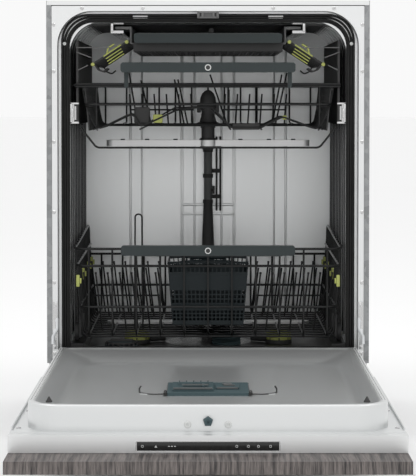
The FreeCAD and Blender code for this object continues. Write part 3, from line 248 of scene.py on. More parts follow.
# ---------------------------------------------------------------- materials
class Sum:
    """A number socket on which Python's sums add Math nodes."""

    def __init__(self, tree, socket):
        self.tree, self.socket = tree, socket

    def math(self, operation, *values):
        node = self.tree.nodes.new("ShaderNodeMath")
        node.operation = operation
        for target, value in zip(node.inputs, values):
            if isinstance(value, Sum):
                self.tree.links.new(value.socket, target)
            else:
                target.default_value = value
        return Sum(self.tree, node.outputs[0])

    def __add__(self, other):
        return self.math("ADD", self, other)

    def __radd__(self, other):
        return self.math("ADD", other, self)

    def __sub__(self, other):
        return self.math("SUBTRACT", self, other)

    def __rsub__(self, other):
        return self.math("SUBTRACT", other, self)

    def __mul__(self, other):
        return self.math("MULTIPLY", self, other)

    def __rmul__(self, other):
        return self.math("MULTIPLY", other, self)

    def __truediv__(self, other):
        return self.math("DIVIDE", self, other)

    def __gt__(self, other):
        return self.math("GREATER_THAN", self, other)

    def __lt__(self, other):
        return self.math("LESS_THAN", self, other)

    def __abs__(self):
        return self.math("ABSOLUTE", self)


class Finish:
    """A material being made, with one method for every kind of node."""

    def __init__(self, name, **constants):
        self.material = bpy.data.materials.new(name)
        self.material.use_nodes = True
        self.tree = self.material.node_tree
        self.shader = self.tree.nodes["Principled BSDF"]
        for socket, value in constants.items():
            self.shader.inputs[socket.replace("_", " ").title()].default_value = value
        self.coords = self.node("ShaderNodeTexCoord", {}, {}, "Object")

    def node(self, kind, settings, inputs, output=0):
        """A node of one kind, with its settings, then its sockets' values or links; gives an output."""
        node = self.tree.nodes.new(kind)
        stops = settings.pop("stops", ())
        for setting, value in settings.items():
            setattr(node, setting, value)
        for spot, colour in stops[2:]:
            node.color_ramp.elements.new(spot)
        for element, (spot, colour) in zip(node.color_ramp.elements if stops else (), stops):
            element.position, element.color = spot, colour
        for socket, value in inputs.items():
            if isinstance(value, Sum):
                self.tree.links.new(value.socket, node.inputs[socket])
            else:
                node.inputs[socket].default_value = value
        return Sum(self.tree, node.outputs[output])

    def feed(self, **links):
        for socket, value in links.items():
            self.tree.links.new(value.socket, self.shader.inputs[socket.replace("_", " ").title()])
        return self

    def scaled(self, scale, turn=(0, 0, 0)):
        """The surface's own coordinates, stretched and turned."""
        return self.node("ShaderNodeMapping", {}, {"Vector": self.coords, "Scale": scale, "Rotation": turn})

    def noise(self, scale, detail=3.0, rough=0.55, vector=None):
        return self.node("ShaderNodeTexNoise", {}, {"Vector": vector or self.coords, "Scale": scale,
                                                    "Detail": detail, "Roughness": rough}, "Fac")

    def mix(self, share, first, second):
        """A colour between two others."""
        return self.node("ShaderNodeMix", {"data_type": "RGBA"},
                         {0: share, 6: first, 7: second}, 2)

    def bump(self, height, strength, distance=1.0):
        return self.feed(Normal=self.node("ShaderNodeBump", {}, {"Height": height, "Strength": strength,
                                                                 "Distance": distance * MM}))

    def along(self, axis):
        """One of the three coordinates, in metres."""
        return self.node("ShaderNodeSeparateXYZ", {}, {"Vector": self.coords}, axis)


def shade(value, tint=(1, 1, 1)):
    """A grey, tinted, as the colour sockets want it."""
    return (value * tint[0], value * tint[1], value * tint[2], 1.0)


def brushed(name, dark, light, stretch, rough, depth=0.06, tint=(1, 1, 1)):
    """Rolled or brushed steel: fine streaks one way, with soft clouds over them."""
    f = Finish(name, metallic=1.0)
    streak = f.noise(1.0, 4.0, 0.7, f.scaled(stretch))
    cloud = f.noise(7.0, 2.0)
    f.feed(Base_Color=f.mix(streak * 0.65 + cloud * 0.35, shade(dark, tint), shade(light, tint)),
           Roughness=streak * 0.14 + cloud * 0.08 + (rough - 0.1))
    return f.bump(streak, depth, 0.3)


def moulded(name, colour, rough=0.42, grain=1400.0, depth=0.12, spread=0.35):
    """Moulded plastic with a fine spark-eroded texture and faint flow marks."""
    f = Finish(name)
    f.shader.inputs["Specular IOR Level"].default_value = 0.22
    fine = f.noise(grain, 2.0)
    flow = f.noise(9.0, 3.0)
    darker = tuple(c * (1 - spread) for c in colour[:3]) + (1.0,)
    lighter = tuple(min(1.0, c * (1 + spread)) for c in colour[:3]) + (1.0,)
    f.feed(Base_Color=f.mix(flow * 0.75 + fine * 0.25, darker, lighter),
           Roughness=fine * 0.12 + flow * 0.1 + (rough - 0.1))
    return f.bump(fine, depth, 0.15)


def coated_wire():
    """Nylon-coated rack wire: dark grey, with an even orange peel and slightly polished patches."""
    f = Finish("coated_wire")
    f.shader.inputs["Specular IOR Level"].default_value = 0.25
    peel = f.noise(520.0, 2.0)
    wear = f.noise(24.0, 4.0)
    f.feed(Base_Color=f.mix(wear * 0.7 + peel * 0.3, shade(0.004), shade(0.016, (0.95, 1.0, 1.0))),
           Roughness=peel * 0.16 + 0.24, Coat_Weight=wear * 0.12)
    return f.bump(peel, 0.25, 0.12)


def wood():
    """Straight-grained, stained veneer: long grey-brown streaks with pores."""
    f = Finish("panel_veneer")
    wander = f.noise(3.0, 2.0) * 0.02
    across = f.node("ShaderNodeCombineXYZ", {}, {"X": f.along("X") + wander, "Y": f.along("Y") * 0.035,
                                                 "Z": f.along("Z") * 0.05})
    bands = f.noise(170.0, 5.0, 0.62, across)
    fibres = f.noise(650.0, 4.0, 0.7, across)
    pores = f.noise(700.0, 2.0, 0.5, f.scaled((1.0, 0.06, 0.08)))
    tone = bands * 0.6 + fibres * 0.4
    colour = f.node("ShaderNodeValToRGB", {"stops": [
        (0.41, (0.018, 0.015, 0.015, 1)), (0.60, (0.190, 0.165, 0.155, 1)),
        (0.47, (0.054, 0.045, 0.043, 1)), (0.53, (0.098, 0.083, 0.077, 1))]}, {"Fac": tone})
    f.feed(Base_Color=colour, Roughness=fibres * 0.25 + 0.42)
    return f.bump(tone * 0.6 + pores * 0.4, 0.35, 0.4)


def pan_steel():
    """The door's pressed sheet: brushed along the door, with painted shade: its front face gets a darker colour
    than its top.
    """
    f = Finish("door_steel", metallic=1.0)
    streak = f.noise(1.0, 4.0, 0.7, f.scaled((900.0, 14.0, 900.0)))
    cloud = f.noise(5.0, 2.0)
    # painted shade: below y = -0.5615 m, on the pan's front face, the colour is a darker copy of the top's steel
    # colour
    shaded_front = f.along("Y") < -0.5615
    lit_top = f.mix(streak * 0.6 + cloud * 0.4, shade(0.22), shade(0.36))
    f.feed(Base_Color=f.mix(shaded_front, lit_top, f.mix(streak * 0.5 + cloud * 0.5, shade(0.11), shade(0.20))),
           Roughness=streak * 0.14 + cloud * 0.10 + 0.26)
    return f.bump(streak, 0.06, 0.3)


def zinc():
    """Hot-dip zinc on the cabinet's sheets: overlapping spangles with a cloudy gloss."""
    f = Finish("zinc_sheet", metallic=0.9)
    flake = f.node("ShaderNodeTexVoronoi", {}, {"Vector": f.coords, "Scale": 95.0}, "Color")
    tone = f.node("ShaderNodeSeparateColor", {}, {"Color": flake}, 0)
    cloud = f.noise(5.0, 4.0)
    f.feed(Base_Color=f.mix(tone * 0.5 + cloud * 0.5, shade(0.20, (0.97, 1, 1.02)),
                            shade(0.40, (0.98, 1, 1.01))),
           Roughness=tone * 0.18 + cloud * 0.12 + 0.28)
    bead = f.along("Y").math("SINE", f.along("Y") * 57.0) > 0.965
    return f.bump(cloud * 0.1 + bead, 0.6, 1.2)


def woven_filter():
    """Fine perforated filter steel: rows of tiny dark holes."""
    f = Finish("filter_mesh", metallic=1.0)
    spots = f.node("ShaderNodeTexVoronoi", {"feature": "F1"}, {"Vector": f.coords, "Scale": 620.0,
                                                              "Randomness": 0.0}, "Distance")
    hole = spots < 0.34
    f.feed(Base_Color=f.mix(hole, shade(0.55), shade(0.03)), Roughness=hole * 0.4 + 0.3)
    return f.bump(1 - hole, 0.4, 0.3)


def circuit():
    """Circuit board: green lacquer with fine copper tracks."""
    f = Finish("circuit_board")
    tracks = f.node("ShaderNodeTexBrick", {"offset": 0.5}, {"Vector": f.coords, "Scale": 120.0,
                                                           "Mortar Size": 0.03}, "Fac")
    fine = f.noise(60.0)
    f.feed(Base_Color=f.mix(tracks, (0.01, 0.07, 0.035, 1), (0.05, 0.16, 0.06, 1)),
           Roughness=fine * 0.2 + 0.3)
    return f.bump(tracks, 0.2, 0.2)


def smoked_glass():
    """The control window: near-black, polished, with faint dust."""
    f = Finish("smoked_glass")
    dust = f.noise(90.0, 4.0)
    f.feed(Base_Color=f.mix(dust, shade(0.004), shade(0.014)), Roughness=dust * 0.12 + 0.05)
    return f.bump(dust, 0.02, 0.1)


def rubber():
    """Black seal rubber with a dull bloom."""
    f = Finish("seal_black")
    f.shader.inputs["Specular IOR Level"].default_value = 0.2
    bloom = f.noise(30.0, 4.0)
    fine = f.noise(900.0, 2.0)
    f.feed(Base_Color=f.mix(bloom, shade(0.006), shade(0.022)), Roughness=bloom * 0.2 + fine * 0.1 + 0.38)
    return f.bump(fine, 0.15, 0.15)


def cast_weight():
    """The ballast: rough cast iron with a primer coat."""
    f = Finish("cast_iron", metallic=0.2)
    pits = f.noise(160.0, 5.0, 0.7)
    f.feed(Base_Color=f.mix(pits, shade(0.03), shade(0.13, (1.0, 0.9, 0.85))), Roughness=pits * 0.3 + 0.5)
    return f.bump(pits, 0.5, 0.6)


FINISHES = {
    "door_steel": pan_steel,
    "tub_steel": lambda: brushed("tub_steel", 0.78, 0.95, (700.0, 24.0, 10.0), 0.33, 0.04),
    # painted shade: the tub floor's steel is made far darker than the walls' to stand in for the shadow lying on
    # the tub's floor
    "floor_painted_shade": lambda: brushed("floor_painted_shade", 0.05, 0.11, (16.0, 600.0, 600.0), 0.32),
    "frame_steel": lambda: brushed("frame_steel", 0.42, 0.60, (600.0, 600.0, 12.0), 0.28),
    "fascia_steel": lambda: brushed("fascia_steel", 0.13, 0.22, (9.0, 700.0, 1100.0), 0.32),
    "arm_steel": lambda: brushed("arm_steel", 0.55, 0.76, (14.0, 700.0, 700.0), 0.24),
    "rail_steel": lambda: brushed("rail_steel", 0.46, 0.68, (700.0, 14.0, 700.0), 0.22),
    "shadow_steel": lambda: brushed("shadow_steel", 0.03, 0.08, (300.0, 300.0, 60.0), 0.36),
    "hinge_steel": lambda: brushed("hinge_steel", 0.52, 0.72, (300.0, 300.0, 60.0), 0.26),
    "slate_bar": lambda: moulded("slate_bar", (0.030, 0.038, 0.039, 1), 0.40, 900.0, 0.10, 0.22),
    "black_plastic": lambda: moulded("black_plastic", (0.004, 0.0046, 0.0046, 1), 0.36),
    "teal_plastic": lambda: moulded("teal_plastic", (0.007, 0.014, 0.016, 1), 0.36),
    "basket_plastic": lambda: moulded("basket_plastic", (0.009, 0.014, 0.016, 1), 0.40),
    "pipe_plastic": lambda: moulded("pipe_plastic", (0.120, 0.125, 0.125, 1), 0.35),
    "lime_plastic": lambda: moulded("lime_plastic", (0.400, 0.430, 0.130, 1), 0.42, 700.0, 0.08, 0.15),
    "white_plastic": lambda: moulded("white_plastic", (0.620, 0.630, 0.620, 1), 0.35, 700.0, 0.06, 0.08),
    "base_plastic": lambda: moulded("base_plastic", (0.030, 0.031, 0.033, 1), 0.52, 600.0, 0.25),
    "tank_plastic": lambda: moulded("tank_plastic", (0.420, 0.430, 0.420, 1), 0.45, 500.0, 0.15, 0.12),
    "coated_wire": coated_wire,
    "panel_veneer": wood,
    "zinc_sheet": zinc,
    "filter_mesh": woven_filter,
    "circuit_board": circuit,
    "smoked_glass": smoked_glass,
    "seal_black": rubber,
    "cast_iron": cast_weight,
}


def material(name):
    """A finish by name, made the first time it is asked for."""
    return bpy.data.materials.get(name) or FINISHES[name]().material


# ---------------------------------------------------------------- settings a user would change
class DishwasherSizes(bpy.types.PropertyGroup):
    """Sizes of the parts that are made by hand"""

    wire: bpy.props.FloatProperty(name="Rack wire", description="Radius of the rack's main wires in mm",
                                  default=1.9, min=1.0, max=3.0)
    tine: bpy.props.FloatProperty(name="Tine", description="Radius of the tines in mm", default=1.6,
                                  min=1.0, max=2.5)
    floor_half: bpy.props.FloatProperty(name="Floor", description="Half the side of the studio floor",
                                        default=60.0, unit="LENGTH")


class DishwasherColours(bpy.types.PropertyGroup):
    """Colours of the studio"""

    floor: bpy.props.FloatVectorProperty(name="Floor", description="The studio floor's colour", size=4,
                                         subtype="COLOR", default=(0.97, 0.97, 0.97, 1.0))
    light: bpy.props.FloatVectorProperty(name="Light", description="The studio light's colour", size=3,
                                         subtype="COLOR", default=(1.0, 1.0, 1.0))


def sizes():
    return bpy.context.scene.dishwasher_sizes


def comb_routes(xs, y, low, high, lean):
    """Prongs standing on a base wire, each leaning away from the middle by its share of lean."""
    return [[(x, y, low), (x + math.copysign(lean, x), y, high)] for x in xs]


def spaced(first, last, count):
    """Evenly spaced numbers from first to last."""
    return [first + (last - first) * i / (count - 1) for i in range(count)]


def ring_route(half, y0, y1, z_front, z_back):
    """A closed rectangle of wire, its sides sloping from the front's height to the back's."""
    return [(0, y0, z_front), (half, y0, z_front), (half, y1, z_back), (-half, y1, z_back),
            (-half, y0, z_front), (0, y0, z_front)]


def emblem(name, at, body, back):
    """A plain ring and disc let into a bar's front, without any mark."""
    x, y, z = at
    front = turned([(0, 5.9), (0.8, 5.9), (1.1, 5.6), (1.1, 4.5), (0.6, 4.3)], (x, y, z), 32, (0, -1, 0))
    piece(name + "_ring", body, "white_plastic", front)
    dot = turned([(0, 4.1), (0.8, 4.1), (1.0, 3.6)], (x, y, z), 24, (0, -1, 0))
    piece(name + "_disc", body, back, dot)


def pierced(columns, levels, place, hole, bar, wall):
    """A formed sheet on a grid, with holes in the cells whose middles pass a test."""
    choose()
    rows = len(levels) - 1
    bpy.ops.mesh.primitive_grid_add(x_subdivisions=columns, y_subdivisions=rows, size=1.0)
    obj = bpy.context.object
    for vert in obj.data.vertices:
        vert.co = Vector(place(vert.co.x + 0.5, levels[round((vert.co.y + 0.5) * rows)])) * MM
    edit(obj, lambda middle, way: hole(middle))
    bpy.ops.mesh.inset(thickness=bar * MM, use_individual=True)
    bpy.ops.mesh.delete(type="FACE")
    choose(obj)
    return modify(obj, "SOLIDIFY", thickness=wall * MM, offset=0.0)


# ---------------------------------------------------------------- lower rack
class DISHWASHER_OT_lower_rack(bpy.types.Operator):
    """Bends and welds the lower rack's wires"""

    bl_idname = "dishwasher.lower_rack"
    bl_label = "Lower rack"

    RIM = 250.0
    WALL = 240.0
    BAND = 250.0       # height at which the walls start to flare

    def execute(self, context):
        rack = Place("lower_rack_frame")
        radius = sizes().wire
        floor = rack.z0 + 2.5
        front, back = rack.y0 + 2, rack.y1 - 2
        rim_front, rim_back = 358.0, 376.0
        hoops = []
        for y in spaced(front + 16, back - 14, 12):
            top = rim_front + 8 + (rim_back - rim_front - 8) * (y - front) / (back - front)
            hoops.append([(-self.RIM, y, top), (-self.WALL - 1, y, self.BAND), (-self.WALL + 6, y, floor),
                          (self.WALL - 6, y, floor), (self.WALL + 1, y, self.BAND), (self.RIM, y, top)])
        runs = []
        for x in (0, 44.7, -44.7, 89.4, -89.4, 134, -134, 179, -179, 223, -223):
            runs.append([(x, front, rim_front), (x, front + 2, floor + 3.6), (x, back - 2, floor + 3.6),
                         (x, back, 315)])
        body = wires(hoops + runs, radius, 12.0)
        side = self.RIM - 0.5
        rings = wires([
            [(-side, back + 1, 250), (-side, back + 1, rim_back), (-side, front - 1, rim_front + 1),
             (side, front - 1, rim_front + 1), (side, back + 1, rim_back), (side, back + 1, 250)],
            [(-side, back, 315), (side, back, 315)],
            [(-self.RIM + 4, back, 336), (-self.RIM + 4, front, 327), (self.RIM - 4, front, 327),
             (self.RIM - 4, back, 336)],
            ring_route(self.WALL + 1, front + 2, back - 2, self.BAND, self.BAND)], radius * 1.25, 22.0)
        piece("lower_rack_wires", "lower_rack", "coated_wire", [body, rings],
              replaces=["lower_rack_frame"])
        self.tines(floor)
        self.clips()
        self.wheels()
        handle = Place("lower_rack_handle")
        emblem("lower_handle", (0, handle.y0 + 0.4, handle.z), "lower_rack", "black_plastic")
        self.bar(handle, "lower_rack", "lower_handle_grip")
        return {"FINISHED"}

    def bar(self, handle, body, name):
        """The soft grip along the bar's underside and its two end cheeks."""
        grip = block((handle.x0 + 24, handle.y0 + 2, handle.z0 - 1.2),
                     (handle.x1 - 24, handle.y1 - 9, handle.z0 + 2),
                     0.8, 3)
        ends = [block((s * 150 - 8, handle.y1 - 8, handle.z0 + 3),
                      (s * 150 + 8, handle.y1 - 1, handle.z1 - 3), 1.6, 3)
                for s in (-1, 1)]
        piece(name, body, "black_plastic", [grip] + ends)

    def tines(self, floor):
        radius = sizes().tine
        columns = spaced(88, 226, 7)
        routes = []
        for y in (247.0, 497.0):
            for s in (-1, 1):
                xs = [s * x for x in columns]
                routes += comb_routes(xs, y, floor + 1, 305, 13)
                routes.append([(s * 80, y, floor + 3.4), (s * 234, y, floor + 3.4)])
        plain = wires(routes, radius, 4.0)
        loop = wires([[(-141, 247, floor + 2), (-140, 247, 418), (-127, 247, 418), (-125, 247, floor + 2)]],
                     radius, 6.0)
        tips = [rod((s * x + s * 12.8, y, 302.5), (s * x + s * 13.1, y, 306.4), radius + 0.5,
                    12, 0.5) for y in (247.0, 497.0) for s in (-1, 1) for x in columns]
        piece("lower_fixed_tines", "lower_rack", "coated_wire", [plain, loop])
        piece("lower_tine_tips", "lower_rack", "black_plastic", tips)
        for side, s in (("left", -1), ("right", 1)):
            place = Place("plate_tines_" + side)
            pivot = (place.y, place.z0 + 2)
            xs = [s * x for x in columns]
            routes = comb_routes(xs, pivot[0], pivot[1], place.z1 - 1, 12)
            routes.append([(s * 83, pivot[0], pivot[1]), (s * 231, pivot[0], pivot[1])])
            routes.append([(s * 90, pivot[0], 250), (s * 232, pivot[0], 250)])
            piece("folding_tines_" + side, "plate_tines_" + side, "coated_wire", wires(routes, radius, 4.0),
                  replaces=["plate_tines_" + side])

    def clips(self):
        made = []
        for y in (150.0, 296.0, 457.0, 566.0):
            for s in (-1, 1):
                x = s * 243.6
                made.append(block((x - 3.2, y - 5, 288), (x + 3.2, y + 5, 310), 1.4, 3))
                made.append(block((x - s * 5 - 1.6, y - 3, 294), (x - s * 5 + 1.6, y + 3, 304), 0.9, 2))
        piece("lower_rack_clips", "lower_rack", "lime_plastic", made)

    def wheels(self):
        plates, spokes = [], {"front_wheels": [], "rear_wheels": []}
        for node in ("front_wheels", "rear_wheels"):
            wheel = Place(node)
            for s in (-1, 1):
                plate = block((min(s * 239, s * 243.4), wheel.y - 24, wheel.z - 9),
                              (max(s * 239, s * 243.4), wheel.y + 24, wheel.z + 36), 1.2, 2)
                plates.append(plate)
                plates.append(rod((s * 236, wheel.y, wheel.z), (s * 252, wheel.y, wheel.z), 3.2, 20, 0.6))
                plates.append(block((min(s * 235, s * 239), wheel.y - 6, wheel.z + 8),
                                    (max(s * 235, s * 239), wheel.y + 6, wheel.z + 34), 1.0, 2))
                hub = turned([(0, 12), (0.8, 12), (1.2, 11), (0.5, 10), (0.5, 6), (1.2, 5.4), (1.2, 3.6)],
                             (s * 244.4, wheel.y, wheel.z), 36, (-s, 0, 0))
                spokes[node].append(hub)
                for turn in range(6):
                    angle = math.radians(60 * turn)
                    way = (math.cos(angle), math.sin(angle))
                    spokes[node].append(rod((s * 244.2, wheel.y + 5 * way[0], wheel.z + 5 * way[1]),
                                            (s * 244.2, wheel.y + 13 * way[0], wheel.z + 13 * way[1]), 0.9,
                                            8))
        piece("lower_rack_axle_plates", "lower_rack", "black_plastic", plates)
        for node, parts in spokes.items():
            piece(node + "_hubs", node, "base_plastic", parts)


# ---------------------------------------------------------------- cutlery basket
class DISHWASHER_OT_basket(bpy.types.Operator):
    """Moulds the cutlery basket: pierced walls and floor, a bowed rim and a handle"""

    bl_idname = "dishwasher.basket"
    bl_label = "Cutlery basket"

    LEVELS = (215, 222, 229, 236, 243, 249, 255, 263.5, 272, 281, 309, 313, 331, 334)

    def half(self, z):
        """Half the basket's width at a height."""
        return 65.6 + (75.2 - 65.6) * (z - 213) / (334 - 213)

    def holes(self, middle):
        z = middle.z
        return 222 < z < 243 or 255 < z < 281 or 313 < z < 331

    def execute(self, context):
        basket = Place("cutlery_basket")
        walls = []
        for y in (basket.y0 + 1.2, basket.y1 - 1.2):
            walls.append(pierced(18, self.LEVELS, lambda u, z, y=y: (self.half(z) * (2 * u - 1), y, z),
                                 self.holes, 1.1, 2.0))
        for s in (-1, 1):
            walls.append(pierced(15, self.LEVELS, lambda u, z, s=s: (
                s * self.half(z), basket.y0 + 1.2 + u * (basket.y1 - basket.y0 - 2.4), z), self.holes, 1.1,
                                 2.0))
        floor = pierced(16, spaced(basket.y0 + 2, basket.y1 - 2, 15),
                        lambda u, y: (64.5 * (2 * u - 1), y, 216.2), lambda middle: True, 1.1, 2.2)
        feet = [block((x - 9, y - 3, 213.2), (x + 9, y + 3, 216), 0.8) for x in (-44, 44)
                for y in (basket.y0 + 12, basket.y1 - 12)]
        rim = wires([[(-75, y, 330), (-40, y, 334.5), (0, y, 336.5), (40, y, 334.5), (75, y, 330)]
                     for y in (basket.y0 + 1.8, basket.y1 - 1.8)]
                    + [[(s * 75, basket.y0 + 1.8, 330), (s * 75, basket.y1 - 1.8, 330)] for s in (-1, 1)],
                    1.8, 30.0)
        bands = wires([[(-self.half(z) - 0.6, basket.y0 + 1.0, z), (self.half(z) + 0.6, basket.y0 + 1.0, z)]
                       for z in (249, 283, 309)], 1.0, 4.0)
        divide = [block((-1.2, basket.y0 + 3, 217), (1.2, basket.y1 - 3, 326), 0.5)]
        divide += [block((-66, y - 1.1, 217), (66, y + 1.1, 322), 0.5) for y in (204, 248)]
        grip = block((-34, basket.y - 4.5, 333), (34, basket.y + 4.5, 341.5), 2.6, 3)
        posts = [block((s * 31 - 4, basket.y - 3.2, 318), (s * 31 + 4, basket.y + 3.2, 336), 1.4,
                       2) for s in (-1, 1)]
        piece("basket_shell", "cutlery_basket", "basket_plastic",
              walls + [floor, rim, bands, grip] + feet + divide + posts,
              replaces=["cutlery_basket"])
        arc = wires([[(-70, basket.y0 + 0.9, 306), (-30, basket.y0 + 0.9, 309.5),
                      (30, basket.y0 + 0.9, 309.5),
                      (70, basket.y0 + 0.9, 306)]], 0.7, 30.0)
        piece("basket_light_line", "cutlery_basket", "pipe_plastic", arc)
        return {"FINISHED"}


# ---------------------------------------------------------------- upper rack
class DISHWASHER_OT_upper_rack(bpy.types.Operator):
    """Bends and welds the upper rack's wires and moulds its side panels"""

    bl_idname = "dishwasher.upper_rack"
    bl_label = "Upper rack"

    def execute(self, context):
        rack = Place("upper_rack_frame")
        radius = sizes().wire
        front, back = rack.y0 + 2, rack.y1 - 2
        floor = 586.0
        hoops, runs = [], []
        for y in spaced(front + 14, front + 158, 5):
            hoops.append([(-236, y, 664), (-229, y, 629), (-208, y, 581), (-140, y, 614), (-127, y, floor),
                          (-60, y, 618), (-14, y, 624), (8, y, 624), (42, y, floor), (100, y, floor),
                          (140, y, 606), (208, y, 581), (229, y, 629), (236, y, 664)])
        for y in spaced(back - 150, back - 12, 5):
            hoops.append([(-236, y, 664), (-229, y, 629), (-220, y, floor), (220, y, floor), (229, y, 629),
                          (236, y, 664)])
        for x in (-127, 42, 100, -214, 214):
            runs.append([(x, front + 10, floor - 3.4), (x, back - 2, floor - 3.4), (x, back, 664)])
        for x in (-208, 208):
            runs.append([(x, front, 664), (x, front + 2, floor), (x, front + 30, floor - 5)])
        for x in spaced(-170, 170, 11):
            runs.append([(x, back - 152, floor + 3.4), (x, back - 2, floor + 3.4), (x, back, 664)])
        body = wires(hoops + runs, radius * 0.92, 12.0)
        rings = wires([
            ring_route(236, front, back, 666, 666),
            ring_route(229.5, front + 1, back - 1, 629, 629),
            [(-247, front - 1, 662.5), (247, front - 1, 662.5)],
            [(-247, front - 1, 667), (-250, front + 1, 664.5), (-247, front - 1, 662.5)],
            [(247, front - 1, 667), (-247, front - 1, 667)]], radius * 1.1, 16.0)
        guard = wires([[(-238, 147, 586), (-208, 147, 548.5), (208, 147, 548.5), (238, 147, 586)]], radius,
                      12.0)
        piece("upper_rack_wires", "upper_rack", "coated_wire", [body, rings, guard],
              replaces=["upper_rack_frame"])
        self.prongs(floor)
        self.panels(front, back)
        handle = Place("upper_rack_handle")
        emblem("upper_handle", (0, handle.y0 + 0.4, 697.5), "upper_rack", "black_plastic")
        self.fold()
        return {"FINISHED"}

    def prongs(self, floor):
        routes = [[(-155, 345, 690), (-138, 345, floor)], [(-132, 345, 676), (-112, 345, floor + 4)],
                  [(-67, 400, 678), (-47, 400, floor)], [(-60, 400, 678), (-40, 400, floor)],
                  [(4, 420, 688), (39, 420, floor)], [(155, 345, 690), (132, 345, floor)],
                  [(148, 420, 688), (128, 420, floor)], [(40, 230, 657), (40, 230, 594)],
                  [(5, 200, 620), (44, 200, floor)]]
        stand = wires(routes, sizes().tine, 4.0)
        across = wires([[(-120, 240, floor + 4), (-86, 240, 610), (-64, 240, 622), (-20, 240, 624),
                         (-8, 240, 618)],
                        [(-103, 260, 594), (-92, 260, 594), (-82, 260, 588), (44, 260, 588)]], sizes().tine,
                       6.0)
        bar = block((46, 196, 581), (98, 206, 593), 2.4, 3)
        chock = block((-140, 205, 592), (-110, 216, 624), 4.0, 3)
        piece("upper_prongs", "upper_rack", "coated_wire", [stand, across])
        links = wires([[(s * 246, 149, 735), (s * 183, 149, 735)] for s in (-1, 1)]
                      + [[(s * 246, 149.4, 727), (s * 217, 149.4, 716)] for s in (-1, 1)]
                      + [[(s * 242, 149.2, 693), (s * 224, 149.2, 702)] for s in (-1, 1)], 1.0, 4.0)
        piece("side_plate_links", "upper_carriage", "base_plastic", links)
        piece("upper_stop_blocks", "upper_rack", "black_plastic", [bar, chock])
        clip = [block((-104, 196, 594), (-86, 204, 610), 2.0, 3),
                block((141, 196, 600), (149, 204, 608), 1.6, 3),
                rod((-95, 196, 602), (-95, 192, 602), 4, 20, 0.8)]
        piece("upper_rack_clips", "upper_rack", "lime_plastic", clip)

    def panels(self, front, back):
        """The black side panels inside the wires, ribbed and pierced."""
        made = []
        levels = [580, 592, 606, 620, 634, 648, 662]
        for s in (-1, 1):
            def place(u, z, s=s):
                return (s * (222.5 + 8.0 * (z - 580) / 82), front + 14 + u * (back - front - 28), z)
            made.append(pierced(22, levels, place, lambda m: 606 < m.z < 648 and math.sin(m.y * 0.16) > -0.2,
                                2.6, 2.4))
            made.append(block((min(s * 229, s * 234), front + 12, 655),
                              (max(s * 229, s * 234), back - 12, 665),
                              1.6, 2))
        piece("upper_side_panels", "upper_rack", "black_plastic", made)

    def fold(self):
        """The folding prongs across the rack."""
        row = Place("upper_tines")
        y, z = row.y, row.z0 + 2
        xs = [s * x for s in (-1, 1) for x in spaced(30, 150, 6)]
        routes = comb_routes(xs, y, z, row.z1 - 1, 4)
        routes += [[(-155, y, z), (155, y, z)], [(-152, y, 618), (-28, y, 618)],
                   [(28, y, 618), (152, y, 618)]]
        piece("upper_folding_prongs", "upper_tines", "coated_wire", wires(routes, sizes().tine, 4.0),
              replaces=["upper_tines"])


class DISHWASHER_OT_shelves(bpy.types.Operator):
    """Moulds the two cup shelves, their ribs and their hooks"""

    bl_idname = "dishwasher.shelves"
    bl_label = "Cup shelves"

    def execute(self, context):
        shelf = Place("cup_shelf_right")
        low, high = (216.0, 704.0), (152.5, 746.0)
        for side, s in (("left", -1), ("right", 1)):
            front, back = shelf.y0 + 5, shelf.y1 - 5
            ribs = [[(s * low[0], y, low[1]), (s * 186, y, 724.8), (s * high[0], y, high[1])]
                    for y in spaced(front + 8, back - 8, 32)]
            frame_wires = [[(s * (low[0] + (high[0] - low[0]) * share), front,
                             low[1] + (high[1] - low[1]) * share),
                            (s * (low[0] + (high[0] - low[0]) * share), back,
                             low[1] + (high[1] - low[1]) * share)]
                           for share in (0.0, 0.33, 0.66, 1.0)]
            ends = [[(s * low[0], y, low[1]), (s * high[0], y, high[1])] for y in (front, back)]
            grid = wires(ribs, 1.2, 6.0, 1, 3)
            edge = wires(frame_wires + ends, 2.0, 6.0)
            hooks = wires([[(s * 214, y, 706), (s * 206, y, 694), (s * 196, y, 690), (s * 188, y, 697)]
                           for y in (front + 2, front + 60, back - 60)], 1.5, 6.0)
            piece("cup_shelf_grid_" + side, "cup_shelf_" + side, "black_plastic", [grid, edge, hooks],
                  replaces=["cup_shelf_" + side])
            tip = wires([[(s * 196, y, 718.9), (s * 163, y, 740.7)] for y in spaced(front - 1, front + 44,
                                                                                    6)],
                        1.7, 4.0)
            slats = wires([[(s * (194 - 1.6 * drop), front - 1, 718.9 - 2.9 * drop),
                            (s * (165 - 1.6 * drop), front - 1, 738 - 2.9 * drop)] for drop in (1.6, 3.2,
                                                                                                4.8)],
                          1.1, 4.0)
            hook = wires([[(s * 190, front - 1, 723), (s * 187, front - 1, 735),
                           (s * 176, front - 1, 742)]], 1.7, 5.0)
            caps = [rod((s * x, front - 3, z), (s * x, front + 6, z), 3.6, 16, 0.8)
                    for x, z in ((216, 704), (152.5, 746))]
            piece("cup_shelf_edge_" + side, "cup_shelf_" + side, "lime_plastic", [tip, slats, hook] + caps)
        return {"FINISHED"}


